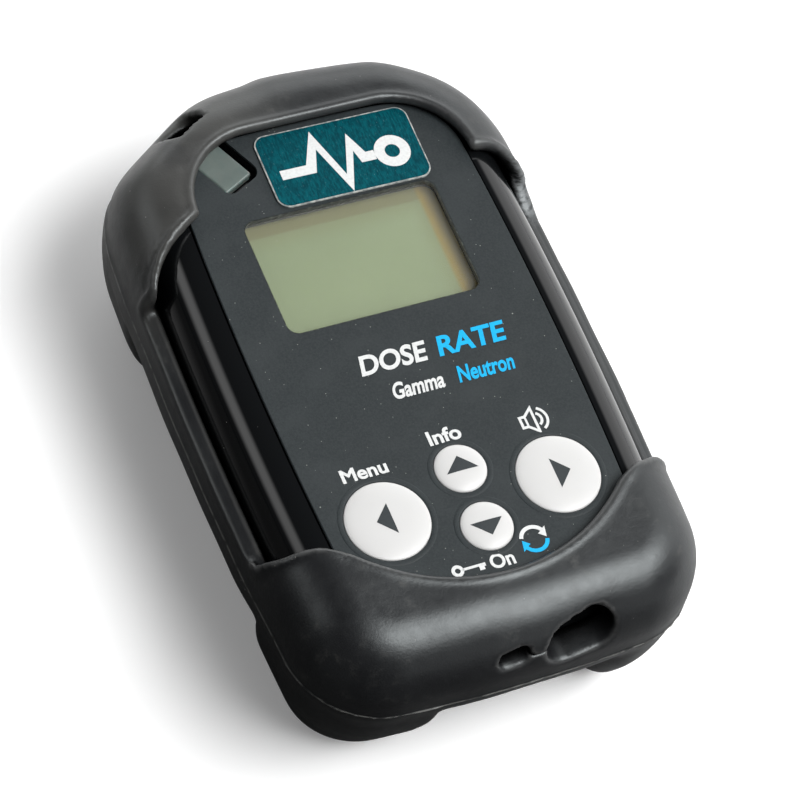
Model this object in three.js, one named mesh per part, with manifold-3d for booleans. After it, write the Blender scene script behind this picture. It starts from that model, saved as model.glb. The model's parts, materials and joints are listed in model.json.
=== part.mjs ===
// Hand-held gamma and neutron radiation meter in a rubber sleeve, as separate pieces.
//
// Units are millimetres. +Z points out of the display, +Y towards the detector end and +X to the right
// of someone reading the display. The origin is the middle of the plane the sleeve's feet rest on.
// A "shell outline" is a closed curve of eight tangent arcs; its parallel curves are its insets, and a
// "profile" is a list of [inset, z] pairs that says how the outline shrinks with height.

import * as THREE from "three";
import { mergeVertices } from "three/addons/utils/BufferGeometryUtils.js";
import Module from "manifold-3d";

const wasm = await Module();
wasm.setup();

// ---------------------------------------------------------------- driving dimensions

const GAP = 0.3; // clearance between pieces that touch on the real meter

// Plan outlines: half-sizes, the big radius of the bowed sides, and the end and corner radii of each half.
const CASE = {
  halfWidth: 30.5, halfLength: 48, side: 633,
  top: { end: 220, corner: 17 }, bottom: { end: 220, corner: 13 },
};
const SLEEVE = {
  halfWidth: 33.5, halfLength: 53.4, side: 750,
  top: { end: 90, corner: 22 }, bottom: { end: 260, corner: 14 },
};
const FAR = 60; // beyond any outline

// Heights, from the resting plane up.
const SLEEVE_BACK = 0.7; // rear of the sleeve between its feet
const CASE_BACK = 2.5;
const CASE_FLOOR = 4.5;
const SHOULDER = 18.2; // the case tapers from here to its back
const SPLIT_REAR = 22.8; // top of the rear shell
const SPLIT_FRONT = 23.1; // bottom of the front shell
const BOARD_BOTTOM = 23.6;
const BOARD_TOP = 25.2;
const ON_BOARD = BOARD_TOP + GAP;
const RIM = 25.3; // widest line of the front shell, and top of the sleeve's side rims
const CEILING = 31; // inside of the front shell's face
const FACE = 33.2; // the ridge round the overlay
const RECESS = 32.7; // floor the overlay lies on
const OVERLAY_TOP = 33.5;
const LIP_TOP = 35.8; // the sleeve's lips stand over the overlay
const SEAM = 21.7; // the sleeve's parting line

const RIDGE_WIDTH = 6.1; // plan width of the rounded ridge between overlay and rim
const OVERLAY_INSET = 6.6;
const WALL = 2;
const LIP_WIDTH = 9.5; // plan width of the sleeve's rounded shoulder
const BACK_INSET = 11.5; // how far the flat back lies inside the widest outline

// Display, keys and what shows on the face.
const WINDOW = { x: 15.93, low: 5.28, high: 26.09, corner: 2 };
const LENS = { x: 17.7, low: 3.5, high: 27.9, corner: 1.4, bottom: 31.9, top: 32.7 };
const BIG_KEY = 6.47;
const SMALL_KEY = 4;
const KEYS = {
  key_left: { x: -13.8, y: -27.9, r: BIG_KEY },
  key_right: { x: 13.8, y: -27.9, r: BIG_KEY },
  key_up: { x: 0, y: -22.85, r: SMALL_KEY },
  key_down: { x: 0, y: -32.85, r: SMALL_KEY },
};
const STEM_BOTTOM = 27.4;
const LABEL = { x: 3.8, y: 33.2, width: 25.5, height: 13.4, corner: 2, turn: -0.6 };
const PIPE = { x: -13, y: 33.9, halfWidth: 3.15, dirX: -0.45, dirY: 0.893 };

// The sleeve's flattened top left corner: the way it faces, its reach, its two slopes, and its slot.
const CORNER = { dirX: -0.56, dirY: 0.828, reach: 51.2, z: 28, steep: 0.12, sloped: 0.55 };
const CORNER_SLOT = { across: 10.3, z: 32.2, halfWidth: 3.5, halfHeight: 1.5 };

// The sleeve's opening at the back, and the plan areas of its four corner feet.
const BACK_OPENING = { x: 17, low: -37.5, high: 23, corner: 5 };
const FOOT_AREAS = [
  { x0: -FAR, x1: -9.5, y0: 21, y1: FAR },
  { x0: 9.5, x1: FAR, y0: 21, y1: FAR },
  { x0: -FAR, x1: -10.5, y0: -FAR, y1: -28 },
  { x0: 17, x1: FAR, y0: -FAR, y1: -28 },
];
const BELLY_HALF = 32; // the sleeve's sides swell over this half length

// Holes through the sleeve's bottom end.
const JACK_X = 7.5;
const JACK_Z = 27.8;
const CABLE_HOLE = { x: 7.9, z: 29.35, halfWidth: 5.6, halfHeight: 3.7 };
const SMALL_HOLE = { x: -2.85, z: 29.35, halfWidth: 2.55, halfHeight: 1.5 };
const SLIT = { z: 28.95, width: 0.3 };
const END_WALL_Y = -45; // the holes run from here out through the bottom end

// Battery bay: two AAA cells lie along Y behind a hinged cover.
const CELL = { x: 5.9, z: 10.45, r: 5.25, low: -29.9, high: 14.6, nub: 1 };
const BAY = { x: 11.4, low: -34, high: 15.5, top: 16.4 };
const DOOR = { x: 12.4, low: -36, high: 16.1, top: 4, corner: 2 };
const DOORWAY = { x: 12.8, low: -36.4, high: 16.9, corner: 2.4 }; // wide enough for the cover to swing
const LEDGE = 4.6; // the cover's seal presses up against this
const HINGE = { y: 18.7, z: 4, pin: 0.75, barrel: 1.7, half: 8.6, pinHalf: 12, bore: 12.2, ear: 12.8 };
const LOCK = { y: -32.4, head: 3, neck: 2, reach: 5, halfCam: 1.1 };

// Casing screws, with the height of the shoulder each head sits on.
const SCREWS = [
  { x: -22, y: 35, seat: 13.5 },
  { x: 22, y: 35, seat: 13.5 },
  { x: -19, y: -37.5, seat: 9.8 },
  { x: 19, y: -37.5, seat: 9.8 },
];
const SCREW = { shaft: 1.1, head: 2, headHeight: 1.4, top: 29.3, boss: 2.6, seatBoss: 3.4, counterbore: 2.4 };
const BOARD_SCREW = {
  x: 22.5, y: -8, shaft: 0.8, head: 1.6, boss: 2.1, headZ: 22.2, headHeight: 1.1, top: 29,
};

// Detectors, side by side along Y behind the display.
const TUBE = { x: -7.2, z: 15.5, r: 4, low: 19.5, high: 38.5 };
const MULTIPLIER = { x: 7.2, z: 14.6, r: 4.9, low: 19.2, high: 30.6 };
const SCINTILLATOR = { r: 5.2, low: 31, high: 38.6 };
const SENSOR_BOARD = { x: 14, low: 18.8, high: 39.4, bottom: 20.9, top: 22.1 };
const MOTOR = { y: -41.2, z: 19.9, r: 2.3, shaft: 0.4 };

// ---------------------------------------------------------------- materials

function finish(color, roughness, metalness = 0, extra = {}) {
  return new THREE.MeshStandardMaterial({ color, roughness, metalness, ...extra });
}

const RUBBER = finish(0x2c2d2e, 0.75);
const GLOSS_BLACK = finish(0x0b0b0c, 0.15);
const DARK_FILM = finish(0x3e4447, 0.6);
const WHITE_KEY = finish(0xecebe8, 0.4);
const TEAL = finish(0x005a69, 0.5);
const CLEAR = finish(0xdfe6e2, 0.05, 0, { transparent: true, opacity: 0.35 });
const LCD_GREEN = finish(0x98a87c, 0.3);
const MILKY = finish(0x8f9f9a, 0.3);
const WHITE_PLASTIC = finish(0xd8d8d2, 0.5);
const BLACK_PLASTIC = finish(0x161616, 0.5);
const BOARD_GREEN = finish(0x1d5a34, 0.45);
const STEEL = finish(0xb4b6b8, 0.3, 1);
const BRASS = finish(0xb08a48, 0.35, 1);
const TIN = finish(0xc8cacc, 0.25, 1);
const SOFT_BLACK = finish(0x191919, 0.9);
const CELL_WRAP = finish(0x27408b, 0.35);
const GLASS_AMBER = finish(0x7d6a4a, 0.1);

// ---------------------------------------------------------------- solids

// A closed three.js geometry as a manifold solid.
function solid(geometry) {
  const g = geometry.clone();
  g.deleteAttribute("normal");
  g.deleteAttribute("uv");
  const merged = mergeVertices(g, 1e-4);
  const vertProperties = new Float32Array(merged.attributes.position.array);
  const triVerts = new Uint32Array(merged.index.array);
  return new wasm.Manifold(new wasm.Mesh({ numProp: 3, vertProperties, triVerts }));
}

// A manifold solid as a three.js geometry.
function geometryOf(shape) {
  const mesh = shape.getMesh();
  const geometry = new THREE.BufferGeometry();
  geometry.setAttribute("position", new THREE.BufferAttribute(mesh.vertProperties, 3));
  geometry.setIndex(new THREE.BufferAttribute(mesh.triVerts, 1));
  geometry.computeVertexNormals();
  return geometry;
}

function box(x0, x1, y0, y1, z0, z1) {
  const g = new THREE.BoxGeometry(x1 - x0, y1 - y0, z1 - z0);
  return solid(g.translate((x0 + x1) / 2, (y0 + y1) / 2, (z0 + z1) / 2));
}

// A round bar between two values of one axis; at gives the other two coordinates in X, Y, Z order.
function bar(axis, at, from, to, r, segments = 20) {
  const g = new THREE.CylinderGeometry(r, r, to - from, segments);
  const middle = (from + to) / 2;
  if (axis === "x") return solid(g.rotateZ(Math.PI / 2).translate(middle, at[0], at[1]));
  if (axis === "y") return solid(g.translate(at[0], middle, at[1]));
  return solid(g.rotateX(Math.PI / 2).translate(at[0], at[1], middle));
}

function prism(shape, z0, z1, curveSegments = 6) {
  const options = { depth: z1 - z0, bevelEnabled: false, curveSegments };
  return solid(new THREE.ExtrudeGeometry(shape, options).translate(0, 0, z0));
}

function roundedRect(x0, x1, y0, y1, r) {
  const s = new THREE.Shape();
  s.absarc(x1 - r, y1 - r, r, 0, Math.PI / 2);
  s.absarc(x0 + r, y1 - r, r, Math.PI / 2, Math.PI);
  s.absarc(x0 + r, y0 + r, r, Math.PI, Math.PI * 1.5);
  s.absarc(x1 - r, y0 + r, r, Math.PI * 1.5, Math.PI * 2);
  return s;
}

// The plan of a rounded plate that lies evenly on both sides of the middle, grown by a margin.
function plate({ x, low, high, corner }, grow = 0) {
  return roundedRect(-x - grow, x + grow, low - grow, high + grow, corner + grow);
}

// A turned solid about a vertical axis, from [radius, z] points that start and end on the axis.
function turned(points, x, y, segments = 24) {
  const profile = points.map(([r, z]) => new THREE.Vector2(r, z));
  return new THREE.LatheGeometry(profile, segments).rotateX(Math.PI / 2).translate(x, y, 0);
}

// ---------------------------------------------------------------- shell outlines and lofts

// Centre of the corner circle that is tangent inside the side circle and the end circle.
function cornerCentre(sideX, side, endY, end, r) {
  const a = side - r;
  const b = end - r;
  const dx = -sideX;
  const d = Math.hypot(dx, endY);
  const along = (a * a - b * b + d * d) / (2 * d);
  const across = Math.sqrt(a * a - along * along);
  const ux = dx / d;
  const uy = endY / d;
  return [sideX + ux * along + uy * -across, uy * along + ux * across];
}

// One quarter of an outline as [centre x, centre y, radius, angle] samples from the side to the end.
function quarter(o, { end, corner }) {
  const sideX = o.halfWidth - o.side;
  const endY = o.halfLength - end;
  const [cx, cy] = cornerCentre(sideX, o.side, endY, end, corner);
  const start = Math.atan2(cy, cx - sideX);
  const stop = Math.atan2(cy - endY, cx);
  const samples = [
    [sideX, 0, o.side, 0],
    [sideX, 0, o.side, start / 2],
  ];
  const steps = 6;
  for (let i = 0; i <= steps; i++) samples.push([cx, cy, corner, start + ((stop - start) * i) / steps]);
  samples.push([0, endY, end, (stop + Math.PI / 2) / 2]);
  samples.push([0, endY, end, Math.PI / 2]);
  return samples;
}

// The outline's parallel curve at an inset, anticlockwise from +X.
function outline(o, inset) {
  const at = ([cx, cy, r, angle]) => [
    cx + (r - inset) * Math.cos(angle),
    cy + (r - inset) * Math.sin(angle),
  ];
  const top = quarter(o, o.top).map(at);
  const bottom = quarter(o, o.bottom).map(at);
  const flip = (points, sx, sy) => points.map(([x, y]) => [x * sx, y * sy]);
  return [
    ...top.slice(0, -1),
    ...flip(top, -1, 1).reverse().slice(0, -1),
    ...flip(bottom, -1, -1).slice(0, -1),
    ...flip(bottom, 1, -1).reverse().slice(0, -1),
  ];
}

// Skins a stack of equal rings, given from low to high, and closes it with a fan at each end.
function skin(rings, z) {
  const n = rings[0].length;
  const position = [];
  rings.forEach((ring, k) => ring.forEach(([x, y]) => position.push(x, y, z[k])));
  position.push(0, 0, z[0], 0, 0, z[z.length - 1]);
  const lowCentre = rings.length * n;
  const highCentre = lowCentre + 1;
  const index = [];
  for (let i = 0; i < n; i++) {
    const j = (i + 1) % n;
    for (let k = 0; k + 1 < rings.length; k++) {
      const a = k * n;
      const b = a + n;
      index.push(a + i, a + j, b + j, a + i, b + j, b + i);
    }
    const top = (rings.length - 1) * n;
    index.push(lowCentre, j, i, highCentre, top + i, top + j);
  }
  const g = new THREE.BufferGeometry();
  g.setAttribute("position", new THREE.Float32BufferAttribute(position, 3));
  g.setIndex(index);
  return g;
}

function loft(o, profile) {
  const rings = profile.map(([inset]) => outline(o, inset));
  return solid(skin(rings, profile.map(([, z]) => z)));
}

// A flat band of the outline between two insets.
function band(o, outer, inner, z0, z1) {
  const around = loft(o, [[outer, z0], [outer, z1]]);
  return around.subtract(loft(o, [[inner, z0 - 1], [inner, z1 + 1]]));
}

// A quarter ellipse from the rim up and in, as [inset, z] pairs.
function shoulderCurve(width, z0, z1, steps = 5) {
  return Array.from({ length: steps + 1 }, (_, i) => {
    const t = ((Math.PI / 2) * i) / steps;
    return [width * (1 - Math.cos(t)), z0 + (z1 - z0) * Math.sin(t)];
  });
}

// ---------------------------------------------------------------- the rubber sleeve

const CASE_REAR = [[BACK_INSET, CASE_BACK], [9.9, 3.6], [0.9, SHOULDER], [0.2, 20]];
const SLEEVE_REAR = [
  [13.2, SLEEVE_BACK], [11.2, 1.6], [10, 3.4], [4.2, 12], [1.9, 16], [0.9, 18], [0.25, 20], [0, SEAM],
];
const FOOT = [
  [8.5, 0], [7, 0.4], [5, 2.5], [3.4, 5], [2, 8.5], [0.9, 12], [0.2, 16], [0.05, 19], [0.4, SEAM],
];
const BELLY = [[4, 11], [0.6, 14.5], [-0.3, 16.5], [-0.5, 18], [-0.4, 19.5], [0.3, SEAM]];

// The opening between the sleeve's lips, seen from the front: the top lip is an arch, the bottom lip
// a hollow arc, and between them the sleeve is cut down to its side rims.
function lipOpening() {
  const archR = 12;
  const archY = 28.65;
  const archRight = 11.5;
  const archLeft = -9.7;
  const hornX = 21.4;
  const hornY = -32.1;
  const hollowY = -10.95;
  const hollowR = Math.hypot(hornX, hornY - hollowY);
  const hollowAngle = Math.atan2(hornY - hollowY, -hornX);
  const s = new THREE.Shape();
  s.absarc(archRight, archY, archR, 0, Math.PI / 2);
  s.absarc(archLeft, archY, archR, Math.PI / 2, Math.PI);
  s.bezierCurveTo(-24, 26.6, -29.5, 25.6, -31.3, 19.5);
  s.lineTo(-FAR, 19.5);
  s.lineTo(-FAR, -24);
  s.lineTo(-34, -24.2);
  s.bezierCurveTo(-32, -27.5, -30, -28.6, -27.7, -28.9);
  s.quadraticCurveTo(-24.6, -29.8, -hornX, hornY);
  s.absarc(0, hollowY, hollowR, hollowAngle, -Math.PI - hollowAngle);
  s.quadraticCurveTo(24.6, -30, 31.5, -28.4);
  s.lineTo(FAR, -27);
  s.lineTo(FAR, 22);
  s.lineTo(32, 22);
  s.quadraticCurveTo(31, 27.5, 27.8, 28);
  s.closePath();
  return s;
}

// The flattened corner's own directions: the way it faces, and along it in plan.
const cornerOut = new THREE.Vector3(CORNER.dirX, CORNER.dirY, 0).normalize();
const cornerAcross = new THREE.Vector3(CORNER.dirY, -CORNER.dirX, 0).normalize();
const UP = new THREE.Vector3(0, 0, 1);

// The space beyond the flattened corner: steep below the slot's height and sloped above it.
function cornerCut() {
  const { reach, z, steep, sloped } = CORNER;
  const s = new THREE.Shape();
  s.moveTo(reach + steep * z, 0);
  s.lineTo(FAR + 10, 0);
  s.lineTo(FAR + 10, LIP_TOP + 1);
  s.lineTo(reach - sloped * (LIP_TOP + 1 - z), LIP_TOP + 1);
  s.lineTo(reach, z);
  s.closePath();
  const g = new THREE.ExtrudeGeometry(s, { depth: 2 * FAR, bevelEnabled: false }).translate(0, 0, -FAR);
  return solid(g.applyMatrix4(new THREE.Matrix4().makeBasis(cornerOut, UP, cornerAcross)));
}

// The slot through the flattened corner, where the light pipe looks out.
function cornerSlot() {
  const { across, z, halfWidth, halfHeight } = CORNER_SLOT;
  const section = roundedRect(-halfWidth, halfWidth, -halfHeight, halfHeight, halfHeight * 0.9);
  const depth = 20;
  const g = new THREE.ExtrudeGeometry(section, { depth, bevelEnabled: false, curveSegments: 5 });
  const frame = new THREE.Matrix4().makeBasis(cornerAcross, UP, cornerOut.clone().negate());
  const start = new THREE.Vector3(0, 0, z).addScaledVector(cornerOut, CORNER.reach - 9 + depth);
  return solid(g.applyMatrix4(frame.setPosition(start.addScaledVector(cornerAcross, across))));
}

function rubberSleeve() {
  const feet = loft(SLEEVE, FOOT);
  let shape = loft(SLEEVE, [...SLEEVE_REAR, ...shoulderCurve(LIP_WIDTH, 24.5, LIP_TOP)]);
  shape = shape.add(loft(SLEEVE, BELLY).intersect(box(-FAR, FAR, -BELLY_HALF, BELLY_HALF, 0, SEAM)));
  for (const { x0, x1, y0, y1 } of FOOT_AREAS) {
    shape = shape.add(feet.intersect(box(x0, x1, y0, y1, -1, SEAM + 1)));
  }
  const cavity = [...CASE_REAR, [0, 22], ...shoulderCurve(RIDGE_WIDTH, RIM, FACE)];
  const grown = cavity.map(([inset, z]) => [inset - GAP, z + (z < CASE_FLOOR ? -GAP : 0)]);
  grown[grown.length - 1] = [RIDGE_WIDTH - GAP, OVERLAY_TOP + GAP];
  shape = shape.subtract(cornerCut());
  shape = shape.subtract(loft(CASE, grown));
  shape = shape.subtract(prism(lipOpening(), RIM, LIP_TOP + 4));
  shape = shape.subtract(prism(plate(BACK_OPENING), -1, CASE_FLOOR));
  shape = shape.subtract(cornerSlot());
  shape = shape.subtract(endHole(CABLE_HOLE)).subtract(endHole(SMALL_HOLE));
  const half = SLIT.width / 2;
  return shape.subtract(box(SMALL_HOLE.x, CABLE_HOLE.x, -FAR, END_WALL_Y, SLIT.z - half, SLIT.z + half));
}

// A flat-sided oval hole through the sleeve's bottom end.
function endHole({ x, z, halfWidth, halfHeight }) {
  const section = roundedRect(-halfWidth, halfWidth, -halfHeight, halfHeight, halfHeight * 0.95);
  const options = { depth: FAR + END_WALL_Y, bevelEnabled: false, curveSegments: 6 };
  return solid(new THREE.ExtrudeGeometry(section, options).rotateX(Math.PI / 2).translate(x, END_WALL_Y, z));
}

// ---------------------------------------------------------------- the casing

function rearShell() {
  const outer = loft(CASE, [...CASE_REAR, [0, 22], [0, SPLIT_REAR]]);
  const inner = loft(CASE, [
    [BACK_INSET + 1.5, CASE_FLOOR],
    [11.5, 5.3],
    [WALL + 0.9, SHOULDER + 0.8],
    [WALL, 21],
    [WALL, SPLIT_REAR + 1],
  ]);
  let shape = outer.subtract(inner);
  const wall = 1.2;
  shape = shape.add(box(-BAY.x - 2.4, BAY.x + 2.4, BAY.low - 2.3, BAY.high + 2.6, 3.2, BAY.top + wall));
  shape = shape.add(box(-HINGE.half - 2, HINGE.half + 2, HINGE.y - 2, HINGE.y + 3.2, 3.2, 7));
  for (const s of SCREWS) {
    const seat = bar("z", [s.x, s.y], 3, s.seat + 1.2, SCREW.seatBoss);
    shape = shape.add(seat.add(bar("z", [s.x, s.y], 3, SPLIT_REAR, SCREW.boss)).intersect(outer));
  }
  shape = shape.subtract(box(-BAY.x, BAY.x, BAY.low, BAY.high, LEDGE, BAY.top));
  shape = shape.subtract(prism(plate(DOORWAY), 0, LEDGE));
  const pocket = HINGE.half + GAP;
  shape = shape.subtract(box(-pocket, pocket, DOOR.high - 0.1, HINGE.y + 2.2, 0, HINGE.z + 2.1));
  shape = shape.add(knuckle(-1)).add(knuckle(1));
  shape = shape.subtract(bar("x", [HINGE.y, HINGE.z], -HINGE.bore, HINGE.bore, HINGE.pin + GAP, 16));
  shape = shape.subtract(bar("z", [0, LOCK.y], CASE_FLOOR, 6.1, LOCK.reach + 0.6));
  for (const s of SCREWS) {
    shape = shape.subtract(bar("z", [s.x, s.y], 0, s.seat, SCREW.counterbore));
    shape = shape.subtract(bar("z", [s.x, s.y], s.seat - 1, SPLIT_REAR + 1, SCREW.shaft + GAP, 16));
  }
  return shape.subtract(band(CASE, 0.6, 1.6, 21.9, SPLIT_REAR + 1));
}

// The rear shell's ear at one end of the cover's hinge pin.
function knuckle(side) {
  const x = [side * (HINGE.half + GAP), side * HINGE.ear].sort((a, b) => a - b);
  return box(x[0], x[1], 17, HINGE.y + 1.8, CASE_BACK + 0.2, HINGE.z + 1.8);
}

function casingGasket() {
  return band(CASE, 0.75, 1.45, 22.05, 22.95);
}

// The light pipe's side view, along its run and in height, grown by a clearance.
function pipeSide(c) {
  const s = new THREE.Shape();
  s.moveTo(-4 - c, 31.3 - c);
  s.lineTo(3.4 - c, 31.3 - c);
  s.lineTo(3.4 - c, 28.2 - c);
  s.lineTo(6.6 + c, 28.2 - c);
  s.lineTo(6.6 + c, 30.7 - c);
  s.lineTo(9, 29.8 - c);
  s.lineTo(11.2 - c, 27.2 - c);
  s.lineTo(13.6 + c, 27.2 - c);
  s.lineTo(13.4 + c, 29);
  s.lineTo(12 + c, 31.4 + c);
  s.lineTo(9.4 + c, 33 + c);
  s.lineTo(7 + c, 33.4 + c);
  s.lineTo(-4 - c, 33.4 + c);
  s.closePath();
  return s;
}

function lightPipe(c = 0) {
  const half = PIPE.halfWidth + c;
  const options = { depth: 2 * half, bevelEnabled: false };
  const g = new THREE.ExtrudeGeometry(pipeSide(c), options).translate(0, 0, -half);
  const along = new THREE.Vector3(PIPE.dirX, PIPE.dirY, 0).normalize();
  const up = new THREE.Vector3(0, 0, 1);
  const across = new THREE.Vector3().crossVectors(along, up);
  const frame = new THREE.Matrix4().makeBasis(along, up, across).setPosition(PIPE.x, PIPE.y, 0);
  const side = solid(g.applyMatrix4(frame));
  return side.intersect(pipePlan(half));
}

// The front shell's outside as a block, or one of its parallel surfaces.
function frontBlock(inset) {
  const profile = [[0, SPLIT_FRONT], ...shoulderCurve(RIDGE_WIDTH, RIM, FACE)];
  return loft(CASE, profile.map(([across, z]) => [across + inset, z]));
}

// The pipe's plan: a strip whose inner end is round.
function pipePlan(half) {
  const s = new THREE.Shape();
  const reach = 16;
  s.absarc(0, 0, half, Math.PI, Math.PI * 2);
  s.lineTo(half, reach);
  s.lineTo(-half, reach);
  s.closePath();
  const options = { depth: 10, bevelEnabled: false, curveSegments: 10 };
  const g = new THREE.ExtrudeGeometry(s, options).translate(0, 0, 25);
  const turn = Math.atan2(PIPE.dirY, PIPE.dirX) - Math.PI / 2;
  return solid(g.rotateZ(turn).translate(PIPE.x, PIPE.y, 0));
}

function frontShell() {
  const outer = frontBlock(0);
  const inner = loft(CASE, [
    [WALL, SPLIT_FRONT - 1],
    [WALL, RIM],
    [WALL + 0.7, 28],
    [WALL + 1.8, 29.8],
    [WALL + 3.2, CEILING],
  ]);
  let shape = outer.subtract(inner);
  for (const s of SCREWS) {
    shape = shape.add(bar("z", [s.x, s.y], SPLIT_FRONT + GAP, CEILING + 0.5, SCREW.boss));
    shape = shape.subtract(bar("z", [s.x, s.y], SPLIT_FRONT, 30, SCREW.shaft + GAP, 16));
  }
  for (const side of [-1, 1]) {
    const at = [side * BOARD_SCREW.x, BOARD_SCREW.y];
    shape = shape.add(bar("z", at, ON_BOARD, CEILING + 0.5, BOARD_SCREW.boss, 16));
    shape = shape.subtract(bar("z", at, BOARD_TOP, 29.5, BOARD_SCREW.shaft + GAP, 12));
  }
  shape = shape.subtract(loft(CASE, [[OVERLAY_INSET - GAP, RECESS], [OVERLAY_INSET - GAP, FACE + 1]]));
  shape = shape.subtract(prism(plate(LENS, GAP), LENS.bottom - GAP, FACE));
  shape = shape.subtract(prism(plate(WINDOW, 0.4), CEILING - 1, FACE));
  for (const k of Object.values(KEYS)) {
    shape = shape.subtract(bar("z", [k.x, k.y], CEILING - 1, FACE, k.r + GAP, 24));
  }
  shape = shape.subtract(lightPipe(GAP));
  shape = shape.subtract(bar("y", [JACK_X, JACK_Z], -50, -43, 2.6, 20));
  return shape.subtract(bar("y", [SMALL_HOLE.x, 29.4], -50, -43, 1.2, 16));
}

function frontOverlay() {
  let shape = loft(CASE, [[OVERLAY_INSET, RECESS + GAP], [OVERLAY_INSET, OVERLAY_TOP]]);
  shape = shape.subtract(prism(plate(WINDOW), RECESS, OVERLAY_TOP + 1));
  for (const k of Object.values(KEYS)) {
    shape = shape.subtract(bar("z", [k.x, k.y], RECESS, OVERLAY_TOP + 1, k.r + GAP, 24));
  }
  return shape.subtract(pipePlan(PIPE.halfWidth + GAP));
}

function assetLabel() {
  const s = roundedRect(-LABEL.width / 2, LABEL.width / 2, -LABEL.height / 2, LABEL.height / 2, LABEL.corner);
  const g = new THREE.ExtrudeGeometry(s, { depth: 0.2, bevelEnabled: false, curveSegments: 5 });
  const turn = THREE.MathUtils.degToRad(LABEL.turn);
  return g.rotateZ(turn).translate(LABEL.x, LABEL.y, OVERLAY_TOP + 0.2);
}

// ---------------------------------------------------------------- keys and their switches

function key({ x, y, r }) {
  const flange = r + 0.7;
  const points = [
    [0, STEM_BOTTOM], [1.8, STEM_BOTTOM], [1.8, 29.2], [flange, 29.2], [flange, 30.3], [r, 30.3],
    [r, 33.5], [r - 0.25, 33.8], [r * 0.6, 34.05], [0, 34.15],
  ];
  return turned(points, x, y);
}

function tactileSwitch({ x, y }) {
  const body = box(x - 2.2, x + 2.2, y - 2.2, y + 2.2, ON_BOARD, 26.2);
  return body.add(bar("z", [x, y], 26, 26.7, 1.3, 16));
}

// ---------------------------------------------------------------- display

function lcdFrame() {
  const outer = prism(roundedRect(-20.6, 20.6, -0.2, 31.6, 1), ON_BOARD, 30.7, 3);
  return outer.subtract(box(-19.2, 19.2, 1.3, 30.1, ON_BOARD - 1, 32));
}

// ---------------------------------------------------------------- boards and what they carry

function mainBoard() {
  let shape = loft(CASE, [[3, BOARD_BOTTOM], [3, BOARD_TOP]]);
  for (const s of SCREWS) {
    shape = shape.subtract(bar("z", [s.x, s.y], BOARD_BOTTOM - 1, BOARD_TOP + 1, SCREW.boss + GAP, 16));
  }
  for (const side of [-1, 1]) {
    const at = [side * BOARD_SCREW.x, BOARD_SCREW.y];
    shape = shape.subtract(bar("z", at, BOARD_BOTTOM - 1, BOARD_TOP + 1, BOARD_SCREW.shaft + GAP, 12));
  }
  return shape;
}

function jackSocket() {
  const body = box(JACK_X - 2.9, JACK_X + 2.9, -43.7, -36.9, ON_BOARD, 29.9);
  const nose = bar("y", [JACK_X, JACK_Z], -46.6, -43.5, 2.2, 20);
  return body.add(nose).subtract(bar("y", [JACK_X, JACK_Z], -48, -38.5, 1.75, 16));
}

function alarmLed() {
  const run = 5;
  const g = new THREE.BoxGeometry(2.8, 2.8, 1.4).translate(0, 0, ON_BOARD + 0.7);
  const dome = new THREE.SphereGeometry(1.2, 14, 8).translate(0, 0, ON_BOARD + 1.1);
  const turn = Math.atan2(PIPE.dirY, PIPE.dirX);
  const shape = geometryOf(solid(g).add(solid(dome)));
  return shape.rotateZ(turn).translate(PIPE.x + PIPE.dirX * run, PIPE.y + PIPE.dirY * run, 0);
}

function buzzer() {
  const top = 28.4;
  const points = [[0, ON_BOARD], [4.2, ON_BOARD], [4.2, top], [1, top], [1, 27], [0, 27]];
  return turned(points, -7, -40.2);
}

// A spring clip: a ring open at its far side from the board, with a foot under the board.
function ringClip({ x, z }, inner, outer, y0, y1, footZ) {
  const gape = Math.PI / 5;
  const s = new THREE.Shape();
  s.absarc(0, 0, outer, gape - Math.PI / 2, Math.PI * 1.5 - gape);
  s.absarc(0, 0, inner, Math.PI * 1.5 - gape, gape - Math.PI / 2, true);
  s.closePath();
  const options = { depth: y1 - y0, bevelEnabled: false, curveSegments: 14 };
  const ring = new THREE.ExtrudeGeometry(s, options).rotateX(Math.PI / 2).translate(x, y1, z);
  return solid(ring).add(box(x - 1.6, x + 1.6, y0, y1, z + inner + 0.1, footZ));
}

// ---------------------------------------------------------------- detectors

// A sealed metal tube along Y with a round pin at its rear end.
function sealedTube({ x, z, r, low, high }) {
  const points = [
    [0, 0], [0.5, 0], [0.5, 1], [r - 0.5, 1], [r, 1.5],
    [r, high - low - 0.6], [r - 0.6, high - low], [0, high - low],
  ].map(([a, b]) => new THREE.Vector2(a, b));
  return new THREE.LatheGeometry(points, 16).translate(x, low, z);
}

function energyFilter() {
  const at = [TUBE.x, TUBE.z];
  return bar("y", at, 23, 35, TUBE.r + 0.8).subtract(bar("y", at, 22, 36, TUBE.r + GAP));
}

// ---------------------------------------------------------------- vibration alarm

function motorCan() {
  const at = [MOTOR.y, MOTOR.z];
  return bar("x", at, -1, 10, MOTOR.r).subtract(bar("x", at, -2, 2.2, MOTOR.shaft + GAP, 12));
}

function motorWeight() {
  const s = new THREE.Shape();
  const r = 2.6;
  s.absarc(0, 0, r, Math.PI, Math.PI * 2);
  s.lineTo(1.2, 0.4);
  s.absarc(0, 0.2, 1.2, 0, Math.PI);
  s.closePath();
  const g = new THREE.ExtrudeGeometry(s, { depth: 4, bevelEnabled: false, curveSegments: 10 });
  const turnedUp = g.rotateX(Math.PI / 2).rotateZ(Math.PI / 2).translate(-7.5, MOTOR.y, MOTOR.z);
  return solid(turnedUp).subtract(bar("x", [MOTOR.y, MOTOR.z], -12, 0, MOTOR.shaft + GAP, 12));
}

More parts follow.
